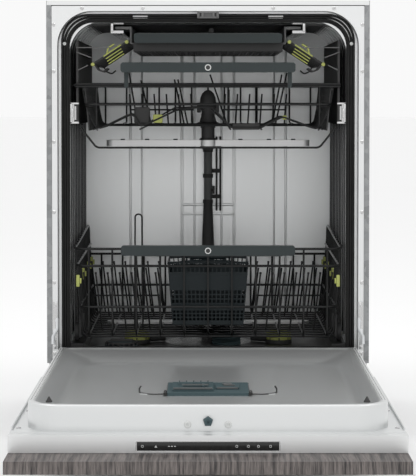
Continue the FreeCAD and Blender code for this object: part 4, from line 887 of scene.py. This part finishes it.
# ---------------------------------------------------------------- tray
class DISHWASHER_OT_tray(bpy.types.Operator):
    """Moulds the top tray: pierced floor, walls, cups and runners"""

    bl_idname = "dishwasher.tray"
    bl_label = "Top tray"

    def execute(self, context):
        tray = Place("tray_frame")
        front, back = tray.y0, tray.y1
        low = tray.z0
        floor = pierced(22, spaced(front + 3, back - 3, 34), lambda u, y: (138 * (2 * u - 1), y, low + 1.3),
                        lambda m: abs(m.x) > 8, 1.5, 2.4)
        walls = [block((s * 138.5 - 1.5, front, low), (s * 138.5 + 1.5, back, low + 16.6),
                       1.1) for s in (-1, 1)]
        walls += [block((-139, y - 1.5, low), (139, y + 1.5, low + 16.6), 1.1) for y in (front + 1.6,
                                                                                         back - 1.6)]
        folds = [block((-137, y - 1.1, low + 1), (137, y + 1.1, low + 11), 0.8)
                 for y in spaced(front + 45, back - 45, 8)]
        cup = block((-43, front + 4, low + 1.5), (43, front + 70, low + 15.5), 3.0, 3)
        edit(cup, lambda m, way: way.z > 0.9)
        bpy.ops.mesh.inset(thickness=2.2 * MM)
        bpy.ops.mesh.extrude_region_move(TRANSFORM_OT_translate={"value": (0, 0, -11 * MM)})
        choose(cup)
        rests = wires([[(s * 20, front + 12, low + 15), (s * 110, front + 90, low + 13)] for s in (-1, 1)]
                      + [[(s * 60, front + 6, low + 14), (s * 134, front + 60, low + 14)] for s in (-1, 1)],
                      1.3, 4.0)
        pegs = [rod((x, front + 8, low + 10), (x, front + 8, low + 24), 3.0, 18, 0.8, 0.8) for x in (-19, 19)]
        tube = rod((6, front + 6, 767), (6, front + 60, 767), 5.0, 24, 0.8)
        stalk = block((2, front + 10, low + 12), (10, front + 20, 764), 1.4)
        piece("tray_body", "top_tray", "black_plastic",
              [floor, cup, rests, tube, stalk] + walls + folds + pegs, replaces=["tray_frame"])
        runners = []
        for s in (-1, 1):
            for x0, x1, z0, z1 in ((140, 146, 742, 745), (143, 146, 745, 775), (146, 174, 769.4, 774.8)):
                runners.append(block((min(s * x0, s * x1), front, z0), (max(s * x0, s * x1), back, z1), 0.9,
                                     2))
        piece("tray_runners", "top_tray", "base_plastic", runners)
        handle = Place("tray_handle")
        lip = block((handle.x0 + 6, handle.y0 + 1.0, handle.z1 - 2.5),
                    (handle.x1 - 6, handle.y1 - 8, handle.z1 + 0.6),
                    0.8, 3)
        piece("tray_handle_lip", "top_tray", "base_plastic", lip)
        return {"FINISHED"}


# ---------------------------------------------------------------- water parts
class DISHWASHER_OT_water(bpy.types.Operator):
    """Adds nozzles, hubs, the feed tower, the riser's clips and the zone jets' caps"""

    bl_idname = "dishwasher.water"
    bl_label = "Water parts"

    def nozzles(self, arm, body, name, top):
        half = (arm.x1 - arm.x0) / 2
        made = []
        for share in (-0.84, -0.6, -0.32, 0.32, 0.6, 0.84):
            made.append(turned([(-0.5, 4.4), (1.2, 4.4), (1.8, 3.8), (1.8, 2.0), (0.4, 1.6)],
                               (share * half, arm.y, top), 20))
        hub = turned([(-1, 17), (1.5, 17), (3.0, 15.5), (3.0, 8), (4.5, 7), (4.5, 3)], (0, arm.y, top), 40)
        keys = [block((-1.5 + 12 * math.cos(a) - 1, arm.y + 12 * math.sin(a) - 1, top + 2.5),
                      (1.5 + 12 * math.cos(a), arm.y + 12 * math.sin(a) + 1, top + 4), 0.4)
                for a in spaced(0, math.pi * 1.5, 4)]
        piece(name, body, "black_plastic", made + [hub] + keys)

    def execute(self, context):
        self.nozzles(Place("lower_spray_arm"), "lower_spray_arm", "lower_arm_nozzles", 195.4)
        upper = Place("upper_spray_arm")
        self.nozzles(upper, "upper_spray_arm", "upper_arm_nozzles", upper.z0 + 12.5)
        below = turned([(0, 6), (3, 13), (7, 15.5), (9, 15.5)], (0, upper.y, upper.z0 - 8), 36)
        piece("upper_arm_boss", "upper_spray_arm", "black_plastic", below)
        tower = turned([(0, 24), (3, 24), (6, 17), (20, 12.5), (26, 12.5), (34, 15.8), (44, 16.2), (54, 15.0),
                        (62, 11.5), (67, 6.5), (69, 2)], (0, 367, 588), 44)
        ears = [block((s * 18 - 4, 364, 612), (s * 18 + 4, 370, 632), 2.2, 3) for s in (-1, 1)]
        ribs = [block((s * 12.5 - 1, 364, 590), (s * 12.5 + 1.2, 370, 610), 0.6) for s in (-1, 1)]
        piece("feed_tower", "upper_rack", "black_plastic", [tower] + ears + ribs)
        self.riser()
        self.jets()
        self.filter()
        return {"FINISHED"}

    def riser(self):
        """Clips on the rear pipe, its light middle length and the nozzle's collar."""
        pipe = rod((0, 593, 424), (0, 593, 556), 8.6, 32, 0.8)
        piece("riser_sleeve", "cabinet", "pipe_plastic", pipe)
        clips = [turned([(0, 10.6), (7, 10.6), (8, 10.0)], (0, 593, z), 32) for z in (420, 474, 528, 556)]
        clips += [block((16, 597, 404), (20, 606, 560), 1.0), block((24, 597, 404), (28, 606, 560), 1.0)]
        clips += [block((-4, 599, z), (28, 605.5, z + 8), 1.0) for z in (430, 484, 538)]
        collar = turned([(0, 9), (2, 11), (6, 11), (8, 9.4)], (0, 588, 571), 32, (0, -1, 0))
        foot = turned([(0, 20), (6, 20), (10, 15.5), (60, 13.6), (150, 12.8)], (0, 590, 172), 36)
        piece("riser_clips", "cabinet", "black_plastic", clips + [collar, foot])

    def jets(self):
        place = Place("zone_jets")
        caps, bodies = [], []
        for s in (-1, 1):
            x, y = s * 139.0, 329.0
            caps.append(turned([(0, 24.8), (11, 24.8), (14.5, 22.5), (15.5, 20), (15.5, 12), (14, 11),
                                (14, 5),
                                (15.2, 4)], (x, y, place.z0 + 7), 44))
            bodies.append(turned([(0, 25.8), (4, 25.8), (6, 25.2), (7.4, 25.2)], (x, y, place.z0), 44))
            for turn in range(8):
                a = math.radians(45 * turn)
                bodies.append(block((x + 24 * math.cos(a) - 1.2, y + 24 * math.sin(a) - 1.2, place.z0 + 2),
                                    (x + 24 * math.cos(a) + 1.2, y + 24 * math.sin(a) + 1.2, place.z0 + 12),
                                    0.5))
        piece("zone_jet_caps", "cabinet", "lime_plastic", caps)
        piece("zone_jet_bodies", "cabinet", "black_plastic", bodies)

    def filter(self):
        cup = Place("filter_cup")
        ring = turned([(0, 29), (1.5, 29), (2.4, 28), (2.4, 24), (0.6, 23)], (cup.x, cup.y, cup.z1 - 1), 44)
        grip = block((cup.x - 16, cup.y - 2.4, cup.z1 - 2), (cup.x + 16, cup.y + 2.4, cup.z1 + 9), 1.6, 3)
        piece("filter_cup_grip", "filter_cup", "teal_plastic", [ring, grip])
        cap = Place("salt_cap")
        rim = turned([(0, 31), (1.8, 31), (2.6, 30), (2.6, 25), (1.0, 24)], (cap.x, cap.y, cap.z1 - 2), 44)
        knurls = [block((cap.x + 31 * math.cos(a) - 1.4, cap.y + 31 * math.sin(a) - 1.4, cap.z0 + 3),
                        (cap.x + 31 * math.cos(a) + 1.4, cap.y + 31 * math.sin(a) + 1.4, cap.z1 - 1), 0.6)
                  for a in spaced(0, math.tau * 17 / 18, 18)]
        lever = block((cap.x - 22, cap.y - 4, cap.z1 - 1), (cap.x + 22, cap.y + 4, cap.z1 + 5), 1.8, 3)
        # painted shade: the salt cap's top is given the black finish because it sits in shadow under the lower
        # rack
        piece("salt_cap_top", "salt_cap", "black_plastic", [rim, lever] + knurls)


# ---------------------------------------------------------------- mouth and tub
class DISHWASHER_OT_mouth(bpy.types.Operator):
    """Adds the seal's beads, the hinge levers, the latch plate, rail ends and white marks painted as highlights on
    the seal
    """

    bl_idname = "dishwasher.mouth"
    bl_label = "Mouth"

    def execute(self, context):
        self.seal()
        self.hinges()
        self.latch()
        self.rail_ends()
        self.back()
        self.hoops()
        self.flange()
        return {"FINISHED"}

    def seal(self):
        place = Place("door_seals")
        low = place.z0 + 1
        routes = []
        for half in (262.4, 266.8, 271.2):
            top = 786.4 + (half - 262.4)
            routes.append([(-half, 145.2, low), (-half, 145.2, top), (half, 145.2, top), (half, 145.2, low)])
        beads = wires(routes, 2.3, 48.0, 3, 16)
        base = wires([[(-267, 147.4, low), (-267, 147.4, 791), (267, 147.4, 791), (267, 147.4, low)]], 1.7,
                     48.0, 2, 12)
        lip = wires([[(-259.4, 146.6, low), (-259.4, 146.6, 783.4), (259.4, 146.6, 783.4),
                      (259.4, 146.6, low)]],
                    2.2, 46.0, 2, 12)
        strip = [block((-254, 144.4 + 1.2, 138.4), (254, 149, 148.6), 0.9, 2)]
        strip += [rod((-253, 145.2, z), (253, 145.2, z), 1.3, 12) for z in (140.6, 143.6, 146.6)]
        piece("seal_beads", "cabinet", "seal_black", [beads, base, lip] + strip,
              replaces=["door_seals"])
        # painted highlights: the white dots at the seal's sides and the white pads on its top stand in for glints
        # of the lamps on the seal
        clips = [turned([(0, 3.2), (0.8, 3.2), (1.2, 2.4)], (s * 267, 143.9, 742), 20,
                        (0, -1, 0)) for s in (-1, 1)]
        glint_pads = [block((s * 126 - 14, 143.2, 789), (s * 126 + 14, 146, 794.6), 0.9, 2) for s in (-1, 1)]
        piece("seal_glints", "cabinet", "white_plastic", clips + glint_pads)

    def hinges(self):
        """The levers that show beside the door's sides, and their bright guide strips."""
        levers, strips = [], []
        for s in (-1, 1):
            levers.append(wires([[(s * 287, 104.5, 186), (s * 287, 104.5, 200), (s * 279, 104.5, 214),
                                  (s * 279, 104.5, 234)]], 3.2, 8.0))
            levers.append(rod((s * 283, 102.6, 210), (s * 283, 106.6, 210), 4.4, 24, 0.8))
            levers.append(rod((s * 280, 103, 229), (s * 280, 106.8, 229), 3.2, 20, 0.6))
            strips.append(block((s * 283 - 4, 105.4, 176), (s * 283 + 4, 106.9, 264), 0.5, 2))
            strips += [rod((s * 283, 104.6, z), (s * 283, 106.4, z), 2.6, 20, 0.5) for z in (182, 257)]
        piece("hinge_levers", "cabinet", "hinge_steel", levers)
        piece("hinge_guides", "cabinet", "rail_steel", strips)

    def latch(self):
        catch = Place("latch_receiver")
        plate = block((-20, catch.y0 - 1.4, 787.5), (20, catch.y0 + 1, 801), 1.0, 2)
        edit(plate, lambda m, way: way.y < -0.9 and abs(m.x) < 10)
        bpy.ops.mesh.inset(thickness=3.4 * MM)
        bpy.ops.mesh.extrude_region_move(TRANSFORM_OT_translate={"value": (0, 1.6 * MM, 0)})
        choose(plate)
        jaws = [block((s * 10 - 2.2, catch.y0 - 2.2, 789.5), (s * 10 + 2.2, catch.y0 + 2, 799),
                      0.8) for s in (-1, 1)]
        piece("latch_plate", "cabinet", "base_plastic", [plate] + jaws)

    def rail_ends(self):
        made, stops = [], []
        for s in (-1, 1):
            for z0, z1 in ((593, 597), (629, 632.5)):
                made.append(block((min(s * 241, s * 259), 149.6, z0), (max(s * 241, s * 259), 156, z1), 0.9,
                                  2))
            made.append(block((min(s * 254, s * 258.6), 149.6, 593), (max(s * 254, s * 258.6), 156, 632.5),
                              0.8, 2))
            stops.append(block((min(s * 250.6, s * 256), 150.4, 604), (max(s * 250.6, s * 256), 158, 622),
                               1.2, 3))
            stops.append(block((s * 179 - 2.4, 150.6, 766), (s * 179 + 2.4, 156, 782), 0.9, 2))
        piece("rail_end_frames", "cabinet", "rail_steel", made)
        piece("rail_end_stops", "cabinet", "rail_steel", stops)

    def back(self):
        """The tub's rear wall with its pressed channel round the riser."""
        wall = Place("tub_back")
        y = wall.y0 - 0.2
        ribs = []
        for x0, x1 in ((-57.5, -52), (52, 57.5), (-165.6, -161), (161, 165.6), (-141, -137), (137, 141),
                       (-30.5, -26.5), (26.5, 30.5)):
            ribs.append(block((x0, y - 1.6, 190), (x1, y + 0.4, 762), 1.5, 3))
        ribs.append(block((-57, y - 1.6, 394), (57, y + 0.4, 399), 1.5, 3))
        ribs.append(block((-57, y - 1.6, 414), (57, y + 0.4, 419), 1.5, 3))
        piece("tub_back_ribs", "cabinet", "tub_steel", ribs)

    def hoops(self):
        """Dark wires laid as painted shade in the grooves between the tub's pressed hoops."""
        routes = []
        for y in spaced(176, 590, 10):
            routes.append([(-257.2, y, 196), (-257.2, y, 779.0), (257.2, y, 779.0), (257.2, y, 196)])
        piece("tub_hoop_groove_shade", "cabinet", "shadow_steel", wires(routes, 1.6, 46.0, 2, 8))

    def flange(self):
        """Screws of the mouth's frame."""
        screws = []
        for s in (-1, 1):
            for z in (168, 300, 430, 560, 690, 776):
                screws.append(turned([(0, 3.6), (0.8, 3.6), (1.6, 2.6), (1.6, 1.2), (1.0, 1.0)],
                                     (s * 284.6, 107.2, z), 20, (0, -1, 0)))
        for x in (-232, -120, 120, 232):
            screws.append(turned([(0, 3.6), (0.8, 3.6), (1.6, 2.6), (1.6, 1.2), (1.0, 1.0)],
                                 (x, 107.2, 806), 20,
                                 (0, -1, 0)))
        piece("mouth_screws", "cabinet", "rail_steel", screws)


# ---------------------------------------------------------------- door
class DISHWASHER_OT_door(bpy.types.Operator):
    """Adds the dispenser's trims, plugs, screws, window icons and the pan's lines"""

    bl_idname = "dishwasher.door"
    bl_label = "Door"

    def execute(self, context):
        self.pan()
        self.dispenser()
        self.window()
        self.plugs()
        self.panel()
        return {"FINISHED"}

    def dispenser(self):
        lid, rinse = Place("detergent_lid"), Place("rinse_aid_lid")
        # painted shade: dark wires along the outer walls of the wings' pressed recesses stand in for the shade in
        # them
        wing_shade_lines = wires([[(s * 70, -300, 155.6), (s * 92, -304, 155.6), (s * 113, -286, 155.6),
                        (s * 115, -240, 155.6),
                        (s * 113, -214, 155.6)] for s in (-1, 1)], 1.1, 14.0)
        shallows = [block((min(s * 68, s * 111), -299, 154.9), (max(s * 68, s * 111), -216, 155.7), 0.35, 1)
                    for s in (-1, 1)]
        edges = [block((s * 67 - 1.6, -314, 156.8), (s * 67 + 1.6, -202, 159.8), 0.8, 2) for s in (-1, 1)]
        edges += [block((-66, y - 1.4, 156.8), (66, y + 1.4, 159.8), 0.8, 2) for y in (-313.5, -202.5)]
        piece("dispenser_wing_edge_shade", "door", "shadow_steel", wing_shade_lines)
        piece("dispenser_wings", "door", "door_steel", shallows)
        piece("dispenser_frame", "door", "base_plastic", edges)
        windows = [block((s * 69.5 - 3.4, -318, 156.4), (s * 69.5 + 3.4, -282, 159.8), 1.2, 2) for s in (-1,
                                                                                                         1)]
        piece("dispenser_windows", "door", "smoked_glass", windows)
        slot = block((-43, -271, 165.4), (1, -264, 167.0), 0.6, 2)
        ribs = [block((x - 1, -258, 165.6), (x + 1, -224, 166.8), 0.5) for x in (-48, -36, -24, -12, 0)]
        ledge = block((lid.x0 + 2, lid.y0 - 0.4, 163.6), (lid.x1 - 2, lid.y0 + 2, 166.6), 0.6, 2)
        piece("detergent_lid_grip", "detergent_lid", "pipe_plastic", [slot, ledge])
        piece("detergent_lid_ribs", "detergent_lid", "teal_plastic", ribs)
        notch = block((26, -262, 163.6), (45, -257, 164.9), 0.5, 2)
        edge = block((rinse.x0 + 2, rinse.y0 - 0.3, 161.4), (rinse.x1 - 2, rinse.y0 + 1.6, 164.4), 0.5, 2)
        dial = turned([(0, 8.5), (0.7, 8.5), (1.1, 7.6), (1.1, 3.0), (0.6, 2.8)], (32, -243, 163.8), 32)
        piece("rinse_lid_grip", "rinse_aid_lid", "pipe_plastic", [notch, edge, dial])

    def window(self):
        """Plain light marks in the control window, and two beside it."""
        glass = Place("control_glass")
        front = glass.y0 + 0.25
        marks = [turned([(0, 2.0), (0.3, 2.0), (0.3, 1.3), (0.1, 1.3)], (x, front, glass.z), 20, (0, -1, 0))
                 for x in (-97.5, 42.8, 60, 75, 93)]
        marks += [turned([(0, 2.4), (0.3, 2.4)], (-77.5, front, glass.z - 0.6), 3, (0, -1, 0))]
        marks += [block((x - 1.4, front - 0.3, glass.z - 0.7), (x + 1.4, front, glass.z + 0.7), 0.1, 1)
                  for x in (-58, -53.5, -49)]
        piece("window_marks", "door", "white_plastic", marks)
        keys = [turned([(0, 3.4), (0.4, 3.4), (0.7, 2.8)], (x, Place("control_fascia").y0 + 0.8, 128), 24,
                       (0, -1, 0))
                for x in (-133, 133)]
        piece("fascia_keys", "door", "black_plastic", keys)
        frame_line = wires([[(-107.2, front, 116.2), (-107.2, front, 131.2), (107.2, front, 131.2),
                             (107.2, front, 116.2), (-107.2, front, 116.2)]], 0.5, 1.5)
        piece("window_bezel", "door", "rail_steel", frame_line)

    def pan(self):
        """The pressed pan: a rounded block whose top is inset and pushed down, with wedges in its near corners."""
        liner = Place("door_liner")
        pan = block((-274.5, liner.y0 + 11, liner.z0 + 1.6), (274.5, liner.y1 - 0.4, liner.z1))
        soften(pan, 46.0, 9, lambda m, way: abs(way.z) > 0.9 and m.y < liner.y0 + 40)
        edit(pan, lambda m, way: way.z > 0.9)
        bpy.ops.mesh.inset(thickness=13.0 * MM)
        bpy.ops.mesh.inset(thickness=26.0 * MM, depth=-26.0 * MM)
        choose(pan)
        floor_z = liner.z1 - 26.0
        near = max(vert.co.y for vert in pan.data.vertices if abs(vert.co.z - floor_z * MM) < MM) / MM
        edit(pan, lambda m, way: False)
        bpy.ops.mesh.select_mode(type="VERT")
        mesh = bmesh.from_edit_mesh(pan.data)
        for vert in mesh.verts:
            vert.select_set(abs(vert.co.z - floor_z * MM) < MM and vert.co.y > (near - 5) * MM)
        mesh.select_flush_mode()
        bmesh.update_edit_mesh(pan.data)
        bpy.ops.mesh.bevel(offset=46.0 * MM, segments=1, affect="VERTICES")
        choose(pan)
        soften(pan, 7.0, 4, lambda m, way: abs(m.z - floor_z) < 1)
        soften(pan, 3.0, 3, lambda m, way: abs(m.z - liner.z1) < 0.5 and m.y < liner.y1 - 4)
        clear = liner.y1 - 130
        flange = block((-297.4, liner.y0 + 0.3, liner.z0 + 0.1), (297.4, clear, liner.z0 + 2.2), 0.7, 2)
        neck = block((-275, clear - 4, liner.z0 + 0.1), (275, liner.y1 - 0.6, liner.z0 + 2.2), 0.7, 2)
        fold = [block((min(s * 294.5, s * 297.6), liner.y0 + 20, liner.z0 + 0.1),
                      (max(s * 294.5, s * 297.6), clear, liner.z0 + 6), 0.8, 2) for s in (-1, 1)]
        piece("door_pan", "door", "door_steel", [pan, flange, neck] + fold,
              replaces=["door_liner"])
        hook = turned([(0, 7.6), (8.5, 7.6), (11, 5.6), (11, 2.4), (9, 2.0)], (0, -566.4, 156.5), 5,
                      (0, -1, 0))
        piece("latch_striker", "door", "teal_plastic", hook, replaces=["latch_hook"])

    def plugs(self):
        plugs = []
        for s in (-1, 1):
            plugs.append(turned([(0, 5.0), (1.5, 5.0), (3.5, 3.6), (8.5, 1.0)], (s * 241, -538, 180.4), 24))
        piece("door_plugs", "door", "black_plastic", plugs)
        lines = wires([[(s * x, 84, 180.6), (s * x, -520, 180.6)] for s in (-1, 1) for x in (266, 270.5)],
                      0.7, 12.0)
        piece("pan_lines", "door", "rail_steel", lines)
        heads = [turned([(0, 5.2), (1.6, 5.2), (2.6, 4.2), (2.6, 2.4), (1.6, 2.0)], (s * 30.5, -566.4, 151),
                        24,
                        (0, -1, 0)) for s in (-1, 1)]
        piece("door_screw_heads", "door", "white_plastic", heads)
        side = [turned([(0, 3.8), (0.8, 3.8), (1.4, 2.8), (1.4, 1.2), (0.8, 1.0)], (s * 287, y, 141.0), 20)
                for s in (-1, 1) for y in (-540, -380, -220, -60, 60)]
        piece("door_screws", "door", "rail_steel", side)

    def panel(self):
        """The clamps that hold the furniture panel, seen from below."""
        made = []
        for s in (-1, 1):
            for y in (-520, -300, -80):
                made.append(block((s * 250 - 16, y - 22, 110.4), (s * 250 + 16, y + 22, 113.4), 0.9, 2))
        piece("panel_clamps", "door", "hinge_steel", made)


# ---------------------------------------------------------------- outside
class DISHWASHER_OT_outside(bpy.types.Operator):
    """Adds pressed ribs, screws, a blank plate and base fittings on the cabinet's outside"""

    bl_idname = "dishwasher.outside"
    bl_label = "Outside"

    def execute(self, context):
        back = Place("back_panel")
        ribs = [block((x - 9, back.y1 - 0.6, 170), (x + 9, back.y1 + 0.85, 740), 0.7, 2) for x in
                spaced(-210, 210, 6)]
        ribs += [block((-270, back.y1 - 0.6, z - 6), (270, back.y1 + 0.85, z + 6), 0.7, 2) for z in (142,
                                                                                                     776)]
        piece("back_ribs", "cabinet", "zinc_sheet", ribs)
        screws = [turned([(0, 4.2), (0.5, 4.2), (0.9, 3.0), (0.9, 1.4), (0.4, 1.2)], (x, back.y1, z), 20,
                         (0, 1, 0))
                  for x in (-286, 286) for z in spaced(130, 800, 6)]
        screws += [turned([(0, 4.2), (0.5, 4.2), (0.9, 3.0), (0.9, 1.4), (0.4, 1.2)], (x, back.y1, z), 20,
                          (0, 1, 0))
                   for x in (-150, 0, 150) for z in (118, 811)]
        piece("back_screws", "cabinet", "hinge_steel", screws)
        plate = block((120, back.y1 - 0.3, 690), (210, back.y1 + 0.6, 745), 0.25, 1)
        piece("back_blank_plate", "cabinet", "white_plastic", plate)
        self.base()
        return {"FINISHED"}

    def base(self):
        made = []
        pan = Place("base_pan")
        for s in (-1, 1):
            for y in spaced(pan.y0 + 30, pan.y1 - 30, 7):
                made.append(block((s * 289 - 5, y - 3, 26), (s * 289 + 5, y + 3, 100), 1.0, 2))
        for x in spaced(-240, 240, 9):
            made.append(block((x - 3, pan.y1 - 5, 26), (x + 3, pan.y1 - 0.2, 104), 1.0, 2))
        piece("base_ribs", "cabinet", "base_plastic", made)
        for node in ("front_foot_left", "front_foot_right", "rear_foot"):
            foot = Place(node)
            nut = turned([(0, 10), (8, 10)], (foot.x, foot.y, 9), 6)
            threads = [turned([(0, 5.0), (0.7, 5.6), (1.4, 5.0)], (foot.x, foot.y, z), 20)
                       for z in spaced(20, 50, 12)]
            pad = [turned([(0, 19.4), (1.2, 19.9), (2.4, 19.4)], (foot.x, foot.y, z), 40) for z in (1.5, 4.6)]
            piece(node + "_thread", node, "hinge_steel", [nut] + threads)
            piece(node + "_pad", node, "base_plastic", pad)


# ---------------------------------------------------------------- finishes of the frame's own parts
NODE_FINISHES = {
    "zinc_sheet": ["side_panel_left", "side_panel_right", "back_panel", "top_panel"],
    "frame_steel": ["top_rail", "front_frame"],
    "tub_steel": ["tub_wrapper", "tub_back"],
    "floor_painted_shade": ["tub_floor"],
    "base_plastic": ["base_pan", "sump"],
    "cast_iron": ["ballast"],
    "hinge_steel": ["hinge_brackets", "door_springs", "hinge_arms"],
    "black_plastic": ["latch_receiver", "circulation_pump", "drain_pump", "inlet_valve", "front_wheels",
                      "rear_wheels", "side_brackets", "cup_shelf_left", "cup_shelf_right", "upper_feed",
                      "front_foot_left", "front_foot_right", "rear_foot", "zone_jets", "tray_frame",
                      "feed_pipe"],
    "tank_plastic": ["salt_container"],
    "white_plastic": ["liner_screws"],
    "filter_mesh": ["filter_plate"],
    "seal_black": ["door_seals"],
    "rail_steel": ["fixed_rails", "telescopic_slides"],
    "door_steel": ["door_liner", "door_outer_panel"],
    "fascia_steel": ["control_fascia"],
    "smoked_glass": ["control_glass"],
    "circuit_board": ["control_board"],
    "panel_veneer": ["furniture_panel"],
    "teal_plastic": ["latch_hook", "dispenser_body", "detergent_lid", "rinse_aid_lid", "filter_cup",
                     "salt_cap"],
    "basket_plastic": ["cutlery_basket"],
    "coated_wire": ["lower_rack_frame", "plate_tines_left", "plate_tines_right", "upper_rack_frame",
                    "upper_tines"],
    "slate_bar": ["lower_rack_handle", "upper_rack_handle", "tray_handle"],
    "arm_steel": ["upper_spray_arm", "lower_spray_arm"],
}


class DISHWASHER_OT_finishes(bpy.types.Operator):
    """Gives each part of the frame its finish"""

    bl_idname = "dishwasher.finishes"
    bl_label = "Finishes"

    def execute(self, context):
        for finish, nodes in NODE_FINISHES.items():
            for node in nodes:
                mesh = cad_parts[node].data
                mesh.materials.clear()
                mesh.materials.append(material(finish))
        return {"FINISHED"}


# ---------------------------------------------------------------- the studio
EYE_BACK = 3530.0      # the eye's distance in front of the cabinet's front
EYE_HEIGHT = 641.0
LENS = 144.7
LOOK_DOWN = 2.096      # degrees; the rest of the drop is shift
SHIFT = -0.147


class DISHWASHER_OT_studio(bpy.types.Operator):
    """Sets up the floor, the soft light and the camera"""

    bl_idname = "dishwasher.studio"
    bl_label = "Studio"

    def execute(self, context):
        scene = context.scene
        scene.view_settings.view_transform = "Standard"
        choose()
        bpy.ops.mesh.primitive_plane_add(size=2 * sizes().floor_half, location=(0, 0, -0.0006))
        floor = settle(bpy.context.object)
        floor.name = "studio_floor"
        pale = Finish("studio_floor", roughness=0.8)
        colour = tuple(scene.dishwasher_colours.floor)
        pale.feed(Base_Color=pale.mix(pale.noise(2.0, 2.0), colour,
                                      tuple(c * 0.985 for c in colour[:3]) + (1.0,)))
        floor.data.materials.append(pale.material)
        self.lamps(scene)
        front = Place("front_frame").y0
        bpy.ops.object.camera_add(location=(0, (front - EYE_BACK) * MM, EYE_HEIGHT * MM),
                                  rotation=(math.radians(90 - LOOK_DOWN), 0, 0))
        camera = bpy.context.object
        camera.data.lens, camera.data.sensor_width = LENS, 36.0
        camera.data.shift_y = SHIFT
        scene.camera = camera
        return {"FINISHED"}

    def lamps(self, scene):
        world = bpy.data.worlds.new("studio")
        world.use_nodes = True
        world.node_tree.nodes["Background"].inputs["Color"].default_value = (1, 1, 1, 1)
        world.node_tree.nodes["Background"].inputs["Strength"].default_value = 0.95
        scene.world = world
        for place, aim, size, power in (
                ((-1.3, -0.9, 3.2), (0, -0.2, 0.3), 1.6, 16.0),
                ((1.3, -0.9, 3.2), (0, -0.2, 0.3), 1.6, 16.0),
                ((0.0, -3.2, 1.9), (0, 0.6, 0.5), 1.6, 5.0)):
            bpy.ops.object.light_add(type="AREA", location=place)
            lamp = bpy.context.object
            lamp.data.shape, lamp.data.size, lamp.data.energy = "DISK", size, power
            lamp.data.color = tuple(scene.dishwasher_colours.light)
            lamp.rotation_euler = (Vector(aim) - Vector(place)).to_track_quat("-Z", "Y").to_euler()


OPERATORS = (
    DISHWASHER_OT_lower_rack,
    DISHWASHER_OT_basket,
    DISHWASHER_OT_upper_rack,
    DISHWASHER_OT_shelves,
    DISHWASHER_OT_tray,
    DISHWASHER_OT_water,
    DISHWASHER_OT_mouth,
    DISHWASHER_OT_door,
    DISHWASHER_OT_outside,
    DISHWASHER_OT_finishes,
    DISHWASHER_OT_studio,
)


class DISHWASHER_PT_panel(bpy.types.Panel):
    """Lists the dishwasher's pieces and settings"""

    bl_label = "Built-in dishwasher"
    bl_idname = "DISHWASHER_PT_panel"
    bl_space_type = "VIEW_3D"
    bl_region_type = "UI"
    bl_category = "Dishwasher"

    def draw(self, context):
        for group in (context.scene.dishwasher_sizes, context.scene.dishwasher_colours):
            for name in group.__annotations__:
                self.layout.prop(group, name)
        for operator in OPERATORS:
            self.layout.operator(operator.bl_idname)


def register():
    for item in (DishwasherSizes, DishwasherColours, *OPERATORS, DISHWASHER_PT_panel):
        bpy.utils.register_class(item)
    bpy.types.Scene.dishwasher_sizes = bpy.props.PointerProperty(type=DishwasherSizes)
    bpy.types.Scene.dishwasher_colours = bpy.props.PointerProperty(type=DishwasherColours)


def unregister():
    del bpy.types.Scene.dishwasher_colours
    del bpy.types.Scene.dishwasher_sizes
    for item in reversed((DishwasherSizes, DishwasherColours, *OPERATORS, DISHWASHER_PT_panel)):
        bpy.utils.unregister_class(item)


def main():
    register()
    for operator in OPERATORS:
        group, name = operator.bl_idname.split(".")
        getattr(getattr(bpy.ops, group), name)()


if __name__ == "__main__":
    main()
